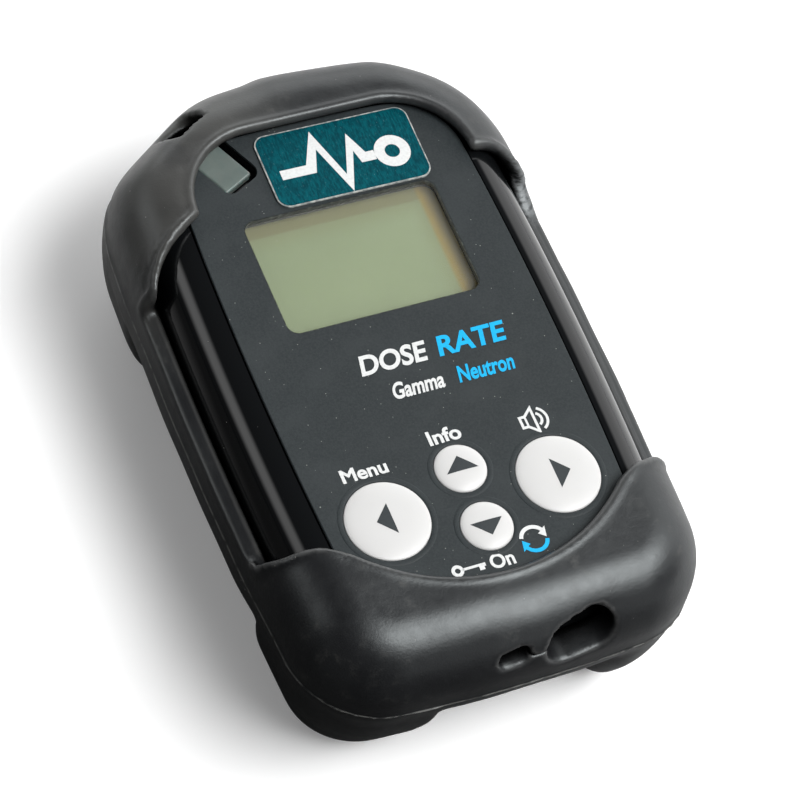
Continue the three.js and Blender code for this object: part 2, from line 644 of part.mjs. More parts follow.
function motorClip() {
  const inner = MOTOR.r + GAP;
  const s = new THREE.Shape();
  s.absarc(0, 0, inner + 0.5, 0, Math.PI);
  s.lineTo(-inner - 0.5, -1);
  s.lineTo(-inner, -1);
  s.lineTo(-inner, 0);
  s.absarc(0, 0, inner, Math.PI, 0, true);
  s.lineTo(inner, -1);
  s.lineTo(inner + 0.5, -1);
  s.closePath();
  const g = new THREE.ExtrudeGeometry(s, { depth: 4, bevelEnabled: false, curveSegments: 10 });
  const ring = solid(g.rotateX(Math.PI / 2).rotateZ(Math.PI / 2).translate(2.5, MOTOR.y, MOTOR.z));
  return ring.add(box(2.5, 6.5, MOTOR.y - 1.5, MOTOR.y + 1.5, MOTOR.z + inner + 0.1, BOARD_BOTTOM - GAP));
}

// ---------------------------------------------------------------- battery bay

function cell(side) {
  const { r, low, high, nub } = CELL;
  const length = high - low - nub;
  const points = [
    [0, 0], [r - 0.5, 0], [r, 0.5], [r, length - 0.5], [r - 0.5, length],
    [1.9, length], [1.9, length + nub], [0, length + nub],
  ].map(([a, b]) => new THREE.Vector2(a, b));
  const g = new THREE.LatheGeometry(points, 20);
  if (side > 0) g.rotateX(Math.PI).translate(0, length + nub, 0);
  return g.translate(side * CELL.x, low, CELL.z);
}

class Coil extends THREE.Curve {
  constructor(r0, r1, length, turns) {
    super();
    Object.assign(this, { r0, r1, length, turns });
  }

  getPoint(t, target = new THREE.Vector3()) {
    const angle = 2 * Math.PI * this.turns * t;
    const r = this.r0 + (this.r1 - this.r0) * t;
    return target.set(r * Math.cos(angle), this.length * t, r * Math.sin(angle));
  }
}

function coilSpring(side) {
  const wire = new THREE.Shape().absarc(0, 0, 0.3, 0, Math.PI * 2);
  const path = new Coil(3.4, 1.8, 2.8, 3);
  const options = { steps: 30, extrudePath: path, curveSegments: 2, bevelEnabled: false };
  const y = BAY.low + 0.6;
  return new THREE.ExtrudeGeometry(wire, options).translate(side * CELL.x, y, CELL.z);
}

function batteryCover() {
  let shape = prism(plate(DOOR), CASE_BACK, DOOR.top);
  shape = shape.add(bar("x", [HINGE.y, HINGE.z], -HINGE.half, HINGE.half, HINGE.barrel, 20));
  shape = shape.add(box(-HINGE.half, HINGE.half, DOOR.high - 1, HINGE.y, CASE_BACK + 0.2, DOOR.top));
  shape = shape.subtract(bar("x", [HINGE.y, HINGE.z], -HINGE.pinHalf, HINGE.pinHalf, HINGE.pin + GAP, 16));
  shape = shape.subtract(bar("z", [0, LOCK.y], CASE_BACK - 1, 3.3, LOCK.head + 0.4));
  shape = shape.subtract(bar("z", [0, LOCK.y], 3, DOOR.top + 1, LOCK.neck + 0.4, 20));
  const grips = 4;
  for (let i = 0; i < grips; i++) {
    const y = -22 + 2.4 * i;
    shape = shape.subtract(box(-7, 7, y, y + 1, CASE_BACK - 1, CASE_BACK + 0.5));
  }
  return shape;
}

function coverSeal() {
  const outer = prism(roundedRect(-12.3, 12.3, -35.8, 16, 1.8), 4.1, 4.4, 3);
  return outer.subtract(prism(roundedRect(-11.5, 11.5, -35, 15.2, 1), 4, 5, 3));
}

// A coin-slot lock: its cam is parked across the bay, and a quarter turn sends it under the ledge.
function coverLock() {
  let shape = bar("z", [0, LOCK.y], CASE_BACK, 3, LOCK.head);
  shape = shape.add(bar("z", [0, LOCK.y], 2.8, 5.5, LOCK.neck, 20));
  const half = LOCK.halfCam;
  shape = shape.add(box(-half, LOCK.reach, LOCK.y - half, LOCK.y + half, 4.7, 5.5));
  const slot = LOCK.head - 0.5;
  return shape.subtract(box(-0.5, 0.5, LOCK.y - slot, LOCK.y + slot, CASE_BACK - 1, CASE_BACK + 0.8));
}

// ---------------------------------------------------------------- fasteners

// A pan-head screw that points up, with a driver recess in its head.
function screw(x, y, headZ, headHeight, headR, shaftR, top) {
  let shape = bar("z", [x, y], headZ, headZ + headHeight, headR, 16);
  shape = shape.add(bar("z", [x, y], headZ + headHeight - 0.2, top, shaftR, 10));
  const slot = headR * 0.62;
  shape = shape.subtract(box(x - slot, x + slot, y - 0.25, y + 0.25, headZ - 1, headZ + headHeight / 2));
  return shape.subtract(box(x - 0.25, x + 0.25, y - slot, y + slot, headZ - 1, headZ + headHeight / 2));
}

// ---------------------------------------------------------------- the assembly

const meter = new THREE.Group();

function place(name, shape, material) {
  const geometry = shape.isBufferGeometry ? shape : geometryOf(shape);
  const mesh = new THREE.Mesh(geometry, material);
  mesh.name = name;
  meter.add(mesh);
  return mesh;
}

function placeCasing() {
  place("rubber_sleeve", rubberSleeve(), RUBBER);
  place("front_shell", frontShell(), GLOSS_BLACK);
  place("rear_shell", rearShell(), GLOSS_BLACK);
  place("casing_gasket", casingGasket(), SOFT_BLACK);
  place("front_overlay", frontOverlay(), DARK_FILM);
  place("asset_label", assetLabel(), TEAL);
  place("light_pipe", lightPipe().intersect(frontBlock(0.05)), MILKY);
  SCREWS.forEach((s, i) => {
    const headZ = s.seat - GAP - SCREW.headHeight;
    const shape = screw(s.x, s.y, headZ, SCREW.headHeight, SCREW.head, SCREW.shaft, SCREW.top);
    place("casing_screw_" + (i + 1), shape, STEEL);
  });
}

function placeDisplay() {
  place("display_lens", prism(plate(LENS), LENS.bottom, LENS.top, 4), CLEAR);
  place("lcd_glass", box(-18.9, 18.9, 1.6, 29.8, 28.9, 30.7), LCD_GREEN);
  place("lcd_backlight", box(-18.5, 18.5, 5.6, 29.6, 27.2, 28.6), WHITE_PLASTIC);
  place("lcd_frame", lcdFrame(), BLACK_PLASTIC);
  place("lcd_connector", box(-17, 17, 2.2, 4.6, ON_BOARD, 28.6), SOFT_BLACK);
}

function placeKeys() {
  for (const [name, k] of Object.entries(KEYS)) {
    place(name, key(k), WHITE_KEY);
    place(name.replace("key", "switch"), tactileSwitch(k), TIN);
  }
}

function placeBoards() {
  place("main_board", mainBoard(), BOARD_GREEN);
  place("processor", box(-15, -4, 0, 11, 22, BOARD_BOTTOM - GAP), BLACK_PLASTIC);
  place("hv_transformer", box(5, 15, 2, 12, 18.8, BOARD_BOTTOM - GAP), TIN);
  place("jack_socket", jackSocket(), BLACK_PLASTIC);
  place("alarm_led", alarmLed(), MILKY);
  place("buzzer", buzzer(), BLACK_PLASTIC);
  [-1, 1].forEach((side, i) => {
    const { x, y, headZ, headHeight, head, shaft, top } = BOARD_SCREW;
    place("board_screw_" + (i + 1), screw(side * x, y, headZ, headHeight, head, shaft, top), STEEL);
  });
  const b = SENSOR_BOARD;
  place("sensor_board", box(-b.x, b.x, b.low, b.high, b.bottom, b.top), BOARD_GREEN);
  place("board_connector", box(-8, 8, 27, 31, b.top + GAP, BOARD_BOTTOM - GAP), BLACK_PLASTIC);
}

function placeDetectors() {
  const footZ = SENSOR_BOARD.bottom - GAP;
  const clipIn = TUBE.r + GAP;
  place("gm_tube", sealedTube(TUBE), STEEL);
  place("energy_filter", energyFilter(), TIN);
  place("tube_clip_1", ringClip(TUBE, clipIn, clipIn + 0.5, 21, 22.6, footZ), BRASS);
  place("tube_clip_2", ringClip(TUBE, clipIn, clipIn + 0.5, 35.5, 37.1, footZ), BRASS);
  place("photomultiplier", sealedTube(MULTIPLIER), GLASS_AMBER);
  const strapIn = MULTIPLIER.r + GAP;
  place("photomultiplier_clip", ringClip(MULTIPLIER, strapIn, strapIn + 0.5, 24, 26, footZ), BRASS);
  const crystal = bar("y", [MULTIPLIER.x, MULTIPLIER.z], SCINTILLATOR.low, SCINTILLATOR.high, SCINTILLATOR.r);
  place("neutron_scintillator", crystal, TIN);
}

function placeVibrationAlarm() {
  place("vibration_motor", motorCan(), STEEL);
  place("motor_clip", motorClip(), TIN);
  place("motor_shaft", bar("x", [MOTOR.y, MOTOR.z], -9, 1.8, MOTOR.shaft, 12), STEEL);
  place("motor_weight", motorWeight(), BRASS);
}

function placeBatteryBay() {
  [-1, 1].forEach((side, i) => {
    place("battery_" + (i + 1), cell(side), CELL_WRAP);
    place("battery_spring_" + (i + 1), coilSpring(side), STEEL);
  });
  place("contact_plate", box(-10.5, 10.5, 14.85, 15.25, 6, 15.2), TIN);
  place("battery_cover", batteryCover(), GLOSS_BLACK);
  place("cover_seal", coverSeal(), SOFT_BLACK);
  place("cover_hinge_pin", bar("x", [HINGE.y, HINGE.z], -HINGE.pinHalf, HINGE.pinHalf, HINGE.pin, 16), STEEL);
  place("cover_lock", coverLock(), STEEL);
}

placeCasing();
placeDisplay();
placeKeys();
placeBoards();
placeDetectors();
placeVibrationAlarm();
placeBatteryBay();

export default meter;
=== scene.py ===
"""Looks for a pocket gamma and neutron radiation meter that stands in a rubber sleeve.

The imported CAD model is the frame. The sleeve, the front shell, the face film, the label, the keys and the
light pipe are rebuilt here as fine meshes in the places the frame gives them. Every other node keeps its CAD
shape and gets a material. Lengths are in millimetres until a mesh is made; Blender's own units are metres.
"""

import contextlib
import functools
import itertools
import json
import math

import bmesh
import bpy
import numpy as np
from mathutils import Matrix, Vector


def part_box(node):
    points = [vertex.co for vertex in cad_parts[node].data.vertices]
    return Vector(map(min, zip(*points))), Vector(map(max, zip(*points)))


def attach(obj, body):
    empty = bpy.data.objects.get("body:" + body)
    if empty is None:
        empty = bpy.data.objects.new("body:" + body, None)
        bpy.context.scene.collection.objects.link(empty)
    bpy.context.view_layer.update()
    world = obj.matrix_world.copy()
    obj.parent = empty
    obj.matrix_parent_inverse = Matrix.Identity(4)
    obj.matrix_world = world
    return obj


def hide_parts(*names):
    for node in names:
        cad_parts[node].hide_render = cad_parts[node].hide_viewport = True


MM = 0.001
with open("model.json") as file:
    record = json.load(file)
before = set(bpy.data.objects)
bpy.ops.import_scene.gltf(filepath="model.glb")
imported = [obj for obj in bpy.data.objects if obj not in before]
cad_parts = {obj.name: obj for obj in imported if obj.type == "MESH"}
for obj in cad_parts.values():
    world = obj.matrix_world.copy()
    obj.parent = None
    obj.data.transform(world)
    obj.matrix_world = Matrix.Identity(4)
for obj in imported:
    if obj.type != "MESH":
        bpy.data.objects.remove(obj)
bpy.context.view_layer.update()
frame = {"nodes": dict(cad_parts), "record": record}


def corners(node):
    """Lowest and highest corner of a CAD node, in millimetres."""
    low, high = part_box(node)
    return np.array(low) / MM, np.array(high) / MM


# ---- sizes

sleeve_high = corners("rubber_sleeve")[1]
shell_low, shell_high = corners("front_shell")
overlay_low, overlay_high = corners("front_overlay")

LIP_TOP = sleeve_high[2]
FACE = shell_high[2]  # top of the gloss ridge round the face film
OVERLAY_TOP = overlay_high[2]
OVERLAY_INSET = shell_high[0] - overlay_high[0]
SPLIT = shell_low[2]
RIM = 25.3  # top of the sleeve's side rims
SEAM = 21.7  # parting line of the sleeve
CEILING = 31.0
RIDGE = 6.1  # plan width of the gloss ridge
CLEARANCE = 0.3
WINDOW = (-15.93, 15.93, 5.28, 26.09)  # x from, x to, y from, y to
WINDOW_CORNER = 2.0
PRINT = 0.05  # thickness of the printed legends

# Where the light pipe runs: a point on its axis, and its direction in plan towards the top left corner.
PIPE_AT = np.array([-13.0, 33.9])
PIPE_ALONG = np.array([-0.45, 0.893])
PIPE_ACROSS = np.array([PIPE_ALONG[1], -PIPE_ALONG[0]])

CABLE_HOLE = (7.9, 29.15, 2.15, 3.4)  # x, z, half of its straight part, radius
SMALL_HOLE = (-2.85, 29.2, 1.15, 1.35)
HOLE_TILT = math.radians(11)
END_HOLES_TO = -45  # y the holes in the sleeve's bottom end reach
SLIT_Z, SLIT_HALF = 28.95, 0.15
JACK_HOLE = (7.5, 27.8, 2.6)  # x, z, radius
BUZZER_HOLE = (-2.85, 29.4, 1.2)


# ---- curves and signed distances in the plane

def arc(x, y, r, start, stop, steps):
    """Points of an arc, with its angles in degrees."""
    angles = np.radians(np.linspace(start, stop, steps + 1))
    return [(x + r * math.cos(a), y + r * math.sin(a)) for a in angles]


def bezier(points, steps):
    """Points of a Bezier curve of any order."""
    order = len(points) - 1
    t = np.linspace(0, 1, steps + 1)[:, None]
    total = 0
    for i, p in enumerate(points):
        total = total + math.comb(order, i) * t**i * (1 - t) ** (order - i) * np.array(p, float)
    return [tuple(p) for p in total]


def smooth_path(points, steps=6):
    """A Catmull-Rom curve through the points."""
    p = np.array([points[0], *points, points[-1]], float)
    out = []
    for a, b, c, d in zip(p, p[1:], p[2:], p[3:]):
        for t in np.arange(steps) / steps:
            bend = (2 * a - 5 * b + 4 * c - d) * t**2 + (3 * b - a - 3 * c + d) * t**3
            out.append(tuple(0.5 * (2 * b + (c - a) * t + bend)))
    return out + [tuple(p[-1])]


def circle(x, y, r, segments):
    return arc(x, y, r, 0, 360 - 360 / segments, segments - 1)


def rounded_rect(x0, x1, y0, y1, r, steps=8):
    middles = (x1 - r, y1 - r), (x0 + r, y1 - r), (x0 + r, y0 + r), (x1 - r, y0 + r)
    return [p for i, (x, y) in enumerate(middles) for p in arc(x, y, r, 90 * i, 90 * i + 90, steps)]


def quarter_ellipse(width, z0, z1, steps=24):
    """[inset, z] pairs from the rim at z0 up and in to z1."""
    t = np.linspace(0, math.pi / 2, steps + 1)
    return list(zip(width * (1 - np.cos(t)), z0 + (z1 - z0) * np.sin(t)))


def polygon_distance(polygon, u, v):
    """Signed distance to a closed polygon, negative inside."""
    best = np.full(u.shape, np.inf)
    inside = np.zeros(u.shape, bool)
    p = np.array(polygon, float)
    for (x0, y0), (x1, y1) in zip(p, np.roll(p, -1, 0)):
        dx, dy = x1 - x0, y1 - y0
        length2 = dx * dx + dy * dy
        if length2 < 1e-12:
            continue
        t = np.clip(((u - x0) * dx + (v - y0) * dy) / length2, 0, 1)
        best = np.minimum(best, (u - x0 - t * dx) ** 2 + (v - y0 - t * dy) ** 2)
        if dy:
            inside ^= ((y0 > v) != (y1 > v)) & (u < x0 + dx * (v - y0) / dy)
    return np.where(inside, -1, 1) * np.sqrt(best)


class Field:
    """A polygon's signed distance on a fine grid of two coordinates, read back by linear interpolation."""

    def __init__(self, polygon, u_range, v_range, step):
        self.origin, self.step = (u_range[0], v_range[0]), step
        u = np.arange(*u_range, step)
        v = np.arange(*v_range, step)
        self.table = polygon_distance(polygon, *np.meshgrid(u, v, indexing="ij"))

    def __call__(self, u, v):
        nu, nv = self.table.shape
        a = np.clip((u - self.origin[0]) / self.step, 0, nu - 1.001)
        b = np.clip((v - self.origin[1]) / self.step, 0, nv - 1.001)
        i, j = a.astype(int), b.astype(int)
        a, b = a - i, b - j
        t = self.table
        low = t[i, j] * (1 - a) + t[i + 1, j] * a
        high = t[i, j + 1] * (1 - a) + t[i + 1, j + 1] * a
        return low * (1 - b) + high * b


class Outline:
    """A plan outline of eight tangent arcs: bowed sides and ends, joined by corner arcs."""

    def __init__(self, half_width, half_length, side, ends, corners):
        """Radii of the ends and corners are given for the top and then for the bottom."""
        self.side, self.side_x = side, half_width - side
        self.halves = [self._half(half_length, end, r) for end, r in zip(ends, corners)]

    def _half(self, half_length, end, r):
        """The end arc of one half, and the corner arc that is tangent inside the side and the end."""
        a, b, end_y = self.side - r, end - r, half_length - end
        d = math.hypot(self.side_x, end_y)
        along = (a * a - b * b + d * d) / (2 * d)
        across = math.sqrt(a * a - along * along)
        ux, uy = -self.side_x / d, end_y / d
        x, y = self.side_x + ux * along - uy * across, uy * along + ux * across
        return end, end_y, x, y, r, math.atan2(y, x - self.side_x), math.atan2(y - end_y, x)

    def inset(self, x, y):
        """How far inside the outline a point lies; negative outside."""
        px, py = np.abs(x), np.abs(y)
        side = self.side - np.hypot(px - self.side_x, py)
        side_angle = np.arctan2(py, px - self.side_x)
        values = []
        for end_r, end_y, cx, cy, r, start, stop in self.halves:
            end = end_r - np.hypot(px, py - end_y)
            by_side, by_end = side_angle <= start, np.arctan2(py - end_y, px) >= stop
            value = np.where(by_side, side, np.where(by_end, end, r - np.hypot(px - cx, py - cy)))
            values.append(np.where(by_side & by_end, np.minimum(side, end), value))
        return np.where(y >= 0, *values)

    def ring(self, inset, fine=14):
        """The parallel curve at an inset, anticlockwise from +X."""
        quarters = []
        for end_r, end_y, cx, cy, r, start, stop in self.halves:
            start, stop = math.degrees(start), math.degrees(stop)
            side = arc(self.side_x, 0, self.side - inset, 0, start, fine)
            bend = arc(cx, cy, r - inset, start, stop, fine * 2)
            end = arc(0, end_y, end_r - inset, stop, 90, fine)
            quarters.append(np.array(side[:-1] + bend[:-1] + end))
        top, low = quarters
        return np.concatenate([
            top[:-1], (top * (-1, 1))[::-1][:-1], (low * (-1, -1))[:-1], (low * (1, -1))[::-1][:-1],
        ])


CASE = Outline(shell_high[0], shell_high[1], side=633, ends=(220, 220), corners=(17, 13))
SLEEVE = Outline(shell_high[0] + 3, shell_high[1] + 5.4, side=750, ends=(90, 260), corners=(22, 14))


# ---- meshes

def add_mesh(name, vertices, faces, material, smooth_angle=35):
    """A mesh piece from points in millimetres."""
    mesh = bpy.data.meshes.new(name)
    mesh.from_pydata((np.asarray(vertices, float) * MM).tolist(), [], [list(map(int, f)) for f in faces])
    mesh.validate()
    return add_piece(name, mesh, material, smooth_angle)


def new_object(name, data):
    obj = bpy.data.objects.new(name, data)
    bpy.context.scene.collection.objects.link(obj)
    return obj


def add_piece(name, mesh, material, smooth_angle=35):
    obj = new_object(name, mesh)
    mesh.materials.clear()
    mesh.materials.append(material)
    smooth(mesh, smooth_angle)
    return obj


def smooth(mesh, angle):
    """Smooth shading, but for edges sharper than the angle in degrees."""
    mesh.shade_smooth()
    if angle < 180:
        mesh.set_sharp_from_angle(angle=math.radians(angle))


def skin(rings, heights):
    """Vertices and faces of a closed skin over a stack of equal rings, from low to high."""
    n = len(rings[0])
    vertices = [(x, y, z) for ring, z in zip(rings, heights) for x, y in ring]
    faces = [list(range(n))[::-1], list(range((len(rings) - 1) * n, len(rings) * n))]
    for k, i in itertools.product(range(len(rings) - 1), range(n)):
        j = (i + 1) % n
        faces.append((k * n + i, k * n + j, (k + 1) * n + j, (k + 1) * n + i))
    return vertices, faces


def loft(outline, profile):
    return skin([outline.ring(inset) for inset, _ in profile], [z for _, z in profile])


def prism(points, z0, z1):
    return skin([points, points], [z0, z1])


def bar(axis, at, start, stop, r, segments=48):
    """A round bar along the y or z axis; at holds its other two coordinates."""
    points = circle(*at, r, segments)
    vertices, faces = skin([points, points], [start, stop])
    if axis == "y":
        vertices = [(x, y, z) for x, z, y in vertices]
        faces = [f[::-1] for f in faces]
    return vertices, faces


def revolve(profile, closed=False):
    """A solid turned about the z axis, from [radius, z] pairs that end on the axis or form a closed ring."""
    middle = profile if closed else profile[1:-1]
    n, segments = len(middle), 96
    vertices = [(x, y, z) for r, z in middle for x, y in circle(0, 0, r, segments)]
    faces = []
    for k, i in itertools.product(range(n if closed else n - 1), range(segments)):
        a, b, j = k * segments, (k + 1) % n * segments, (i + 1) % segments
        faces.append((a + i, a + j, b + j, b + i))
    if not closed:
        low, high, last = n * segments, n * segments + 1, (n - 1) * segments
        vertices += [(0, 0, profile[0][1]), (0, 0, profile[-1][1])]
        for i in range(segments):
            j = (i + 1) % segments
            faces += [(low, j, i), (high, last + i, last + j)]
    return vertices, faces


def evaluated_mesh(obj):
    """The mesh an object shows with its modifiers, as a new mesh, with the object removed."""
    bpy.context.view_layer.update()
    depsgraph = bpy.context.evaluated_depsgraph_get()
    mesh = bpy.data.meshes.new_from_object(obj.evaluated_get(depsgraph))
    bpy.data.objects.remove(obj)
    return mesh


JOIN, CUT = "UNION", "DIFFERENCE"


def carve(obj, steps):
    """Joins or cuts the object with each solid in turn; a step is (operation, (vertices, faces))."""
    name, material = obj.name, obj.data.materials[0]
    for operation, (vertices, faces) in steps:
        tool = add_mesh("tool", vertices, faces, material)
        modifier = obj.modifiers.new("carve", "BOOLEAN")
        modifier.operation, modifier.solver, modifier.object = operation, "EXACT", tool
        mesh = evaluated_mesh(obj)
        bpy.data.objects.remove(tool)
        obj = add_piece(name, mesh, material)
    return obj


def soften(obj, width, segments=2, angle=40):
    """Rounds the edges sharper than an angle; the width is in millimetres."""
    modifier = obj.modifiers.new("soften", "BEVEL")
    modifier.width, modifier.segments = width * MM, segments
    modifier.limit_method, modifier.angle_limit = "ANGLE", math.radians(angle)
    modifier.use_clamp_overlap, modifier.harden_normals = True, True


def ink(name, loops, z, thickness, material):
    """Flat printed shapes: closed loops of plan points, where a loop inside another is a hole."""
    curve = bpy.data.curves.new(name, "CURVE")
    curve.dimensions, curve.fill_mode, curve.extrude = "2D", "BOTH", thickness * MM / 2
    for loop in loops:
        spline = curve.splines.new("POLY")
        spline.points.add(len(loop) - 1)
        for point, (x, y) in zip(spline.points, loop):
            point.co = (x * MM, y * MM, 0, 1)
        spline.use_cyclic_u = True
    mesh = evaluated_mesh(new_object(name, curve))
    mesh.transform(Matrix.Translation((0, 0, (z + thickness / 2) * MM)))
    return add_piece(name, mesh, material, 30)


def lettering(name, text, x0, x1, baseline, cap_height, material, slant):
    """A printed word, scaled to fill a width and a cap height; its bevel makes the strokes bolder."""
    curve = bpy.data.curves.new(name, "FONT")
    curve.body, curve.extrude, curve.resolution_u = text, 0.5, 6
    curve.bevel_depth, curve.bevel_resolution = 0.028, 0
    mesh = evaluated_mesh(new_object(name, curve))
    points = np.array([v.co for v in mesh.vertices])
    low, high = points.min(0), points.max(0)
    sx, sy = (x1 - x0) / (high[0] - low[0]), cap_height / high[1]
    shear = Matrix(((1, slant, 0, 0), (0, 1, 0, 0), (0, 0, 1, 0), (0, 0, 0, 1)))
    scale = Matrix.Diagonal((sx * MM, sy * MM, PRINT * MM, 1))
    move = Matrix.Translation((x0 * MM, baseline * MM, (OVERLAY_TOP + PRINT / 2) * MM))
    mesh.transform(move @ shear @ scale @ Matrix.Translation((-low[0], 0, 0)))
    return add_piece(name, mesh, material, 30)


# ---- materials

class Nodes:
    """A short way to wire a node tree."""

    def __init__(self, tree):
        self.tree = tree

    def feed(self, socket, value):
        if isinstance(value, bpy.types.NodeSocket):
            self.tree.links.new(value, socket)
        elif isinstance(value, tuple) and len(value) == 3 and socket.type == "RGBA":
            socket.default_value = (*value, 1)
        else:
            socket.default_value = value

    def node(self, kind, output=0, *values, **inputs):
        """A new node's output; inputs are given in order or by name, next to the node's own settings."""
        made = self.tree.nodes.new("ShaderNode" + kind)
        for socket, value in zip(made.inputs, values):
            self.feed(socket, value)
        for key, value in inputs.items():
            if key in made.inputs:
                self.feed(made.inputs[key], value)
            else:
                setattr(made, key, value)
        return made.outputs[output]

    def ramp(self, value, low, high):
        """Rises from 0 at low to 1 at high; high may lie below low."""
        limits = {"Value": value, "From Min": low, "From Max": high}
        return self.node("MapRange", interpolation_type="SMOOTHSTEP", **limits)

    def math(self, operation, a, b):
        return self.node("Math", 0, a, b, operation=operation)

    def times(self, *values):
        return functools.reduce(functools.partial(self.math, "MULTIPLY"), values)

    def mix(self, factor, a, b):
        """Colour a at factor 0, colour b at factor 1."""
        made = self.tree.nodes.new("ShaderNodeMix")
        made.data_type = "RGBA"
        self.feed(made.inputs["Factor"], factor)
        self.feed(made.inputs[6], a)
        self.feed(made.inputs[7], b)
        return made.outputs[2]

    def scale(self, value, low, high):
        """Value times (high - low), plus low."""
        return self.math("ADD", self.times(value, high - low), low)


class Shader(Nodes):
    """A node material whose patterns follow the frame's own coordinates."""

    def __init__(self, name, **values):
        self.material = bpy.data.materials.new(name)
        self.material.use_nodes = True
        super().__init__(self.material.node_tree)
        self.main = self.tree.nodes["Principled BSDF"]
        self.place = self.node("TexCoord", "Object")
        self.set(**values)

    def set(self, **values):
        for key, value in values.items():
            self.feed(self.main.inputs[key.replace("_", " ").title().replace("Ior", "IOR")], value)

    def noise(self, size, detail=2.0, stretch=(1, 1, 1), roughness=0.5):
        """Noise from 0 to 1 of about a size in millimetres; stretch makes it finer along an axis."""
        place = self.node("VectorMath", 0, self.place, stretch, operation="MULTIPLY")
        return self.node("TexNoise", Vector=place, Scale=1 / (size * MM), Detail=detail, Roughness=roughness)

    def specks(self, spacing, radius, share):
        """Round specks of 1 in a share of the cells of a random pattern; lengths in millimetres."""
        distance = self.node("TexVoronoi", "Distance", Vector=self.place, Scale=1 / (spacing * MM))
        near = self.ramp(distance, radius / spacing, 0.6 * radius / spacing)
        pick = self.node("SeparateColor", Color=distance.node.outputs["Color"])
        return self.times(near, self.ramp(pick, 1 - share, 1 - 0.8 * share))

    def axis(self, index):
        """One coordinate in millimetres."""
        return self.times(self.node("SeparateXYZ", index, Vector=self.place), 1 / MM)

    def hollow(self, reach):
        """Rises to 1 deep inside holes and under edges, by ambient occlusion: the mask for painted shade;
        reach in millimetres.
        """
        light = self.node("AmbientOcclusion", "AO", samples=8, Distance=reach * MM)
        return self.ramp(light, 0.7, 0.3)

    def paint(self, factor, a, b):
        """Starts the base colour: a at factor 0, b at factor 1."""
        self.colour = self.mix(factor, a, b)

    def coat(self, mask, colour, share=1.0):
        """Lays a colour over the base colour where the mask is 1, at a share of full strength."""
        self.colour = self.mix(self.times(mask, share), self.colour, colour)

    def finish(self, *layers):
        """The finished material, with bump from (height, depth in millimetres) layers."""
        self.set(base_color=self.colour)
        below = {}
        for height, depth in layers:
            below = {"Normal": self.node("Bump", "Normal", Distance=depth * MM, Height=height, **below)}
        self.set(**{key.lower(): value for key, value in below.items()})
        return self.material


def shade(value, colour=(1, 1, 1)):
    return tuple(value * c for c in colour)


def sleeve_rubber():
    s = Shader("sleeve_rubber", ior=1.58, specular_tint=(0.93, 0.99, 1.0))
    cloudy, scuff, grain = s.noise(14, 3), s.noise(2.2, 8, roughness=0.65), s.noise(0.35, 3)
    x, y, z = (s.axis(i) for i in range(3))
    s.paint(s.ramp(cloudy, 0.35, 0.7), (0.005, 0.005, 0.006), (0.012, 0.0125, 0.0135))
    s.coat(s.times(s.ramp(scuff, 0.52, 0.72), s.ramp(cloudy, 0.4, 0.65)), (0.06, 0.058, 0.054), 0.5)
    s.coat(s.ramp(s.node("NewGeometry", "Pointiness"), 0.515, 0.56), (0.12, 0.12, 0.118), 0.35)
    chalk = s.times(s.ramp(x, 4, -16), s.ramp(y, 8, 26), s.ramp(cloudy, 0.25, 0.6))
    s.coat(chalk, (0.048, 0.047, 0.044), 0.85)
    patch = s.ramp(s.noise(0.9, 5, stretch=(1, 1, 3)), 0.35, 0.6)
    rubbed = s.times(s.ramp(x, 23, 27), s.ramp(z, 20, 24), s.ramp(y, 28, 25.5), s.ramp(y, 17, 21), patch)
    s.coat(rubbed, (0.13, 0.137, 0.14), 0.8)
    patch = s.ramp(s.noise(1.6, 4), 0.3, 0.6)
    flash = s.times(s.ramp(z, SEAM - 0.35, SEAM), s.ramp(z, SEAM + 0.35, SEAM), patch)
    s.coat(flash, (0.2, 0.2, 0.19), 0.8)
    s.coat(s.math("MAXIMUM", s.specks(2.4, 0.11, 0.3), s.specks(1.1, 0.06, 0.2)), (0.25, 0.245, 0.23))
    # Painted shade: deep in holes, creases and under edges the base colour goes near black and the specular
    # level drops to nothing.
    hollow = s.hollow(9)
    s.coat(hollow, shade(0.001))
    s.set(specular_ior_level=s.scale(hollow, 0.5, 0.0), roughness=s.scale(scuff, 0.28, 0.52))
    return s.finish((s.noise(3.5, 3), 0.05), (grain, 0.018), (scuff, 0.03))


def gloss_black():
    s = Shader("gloss_black", ior=1.5)
    dust = s.math("MAXIMUM", s.specks(1.7, 0.07, 0.3), s.specks(4.3, 0.12, 0.35))
    s.paint(dust, (0.004, 0.0045, 0.005), (0.3, 0.3, 0.28))
    s.set(roughness=s.scale(s.math("MAXIMUM", dust, s.times(s.noise(9, 4), 0.12)), 0.03, 0.6))
    return s.finish((s.noise(6, 2), 0.006))


def overlay_film():
    s = Shader("overlay_film", ior=1.36)
    grain = s.noise(0.32, 3, roughness=0.7)
    s.paint(s.ramp(grain, 0.3, 0.72), (0.012, 0.0165, 0.0185), (0.022, 0.028, 0.03))
    s.coat(s.ramp(s.noise(7, 4), 0.4, 0.7), (0.03, 0.036, 0.038), 0.35)
    s.coat(s.math("MAXIMUM", s.specks(0.9, 0.09, 0.3), s.specks(3.1, 0.14, 0.4)), (0.3, 0.31, 0.29), 0.7)
    s.set(roughness=s.scale(grain, 0.5, 0.66))
    return s.finish((grain, 0.012))


def label_film():
    s = Shader("label_film", metallic=0.1, specular_ior_level=0.06)
    streak = s.noise(1.1, 5, stretch=(3.2, 0.8, 1), roughness=0.75)
    s.paint(s.ramp(streak, 0.36, 0.66), (0.0, 0.038, 0.052), (0.0, 0.085, 0.105))
    s.coat(s.ramp(s.noise(3.5, 3), 0.45, 0.7), (0.0, 0.032, 0.045), 0.4)
    s.coat(s.ramp(s.noise(0.35, 2, stretch=(2, 0.7, 1)), 0.66, 0.78), (0.14, 0.26, 0.28), 0.5)
    s.set(roughness=s.scale(streak, 0.5, 0.65))
    return s.finish((streak, 0.01))


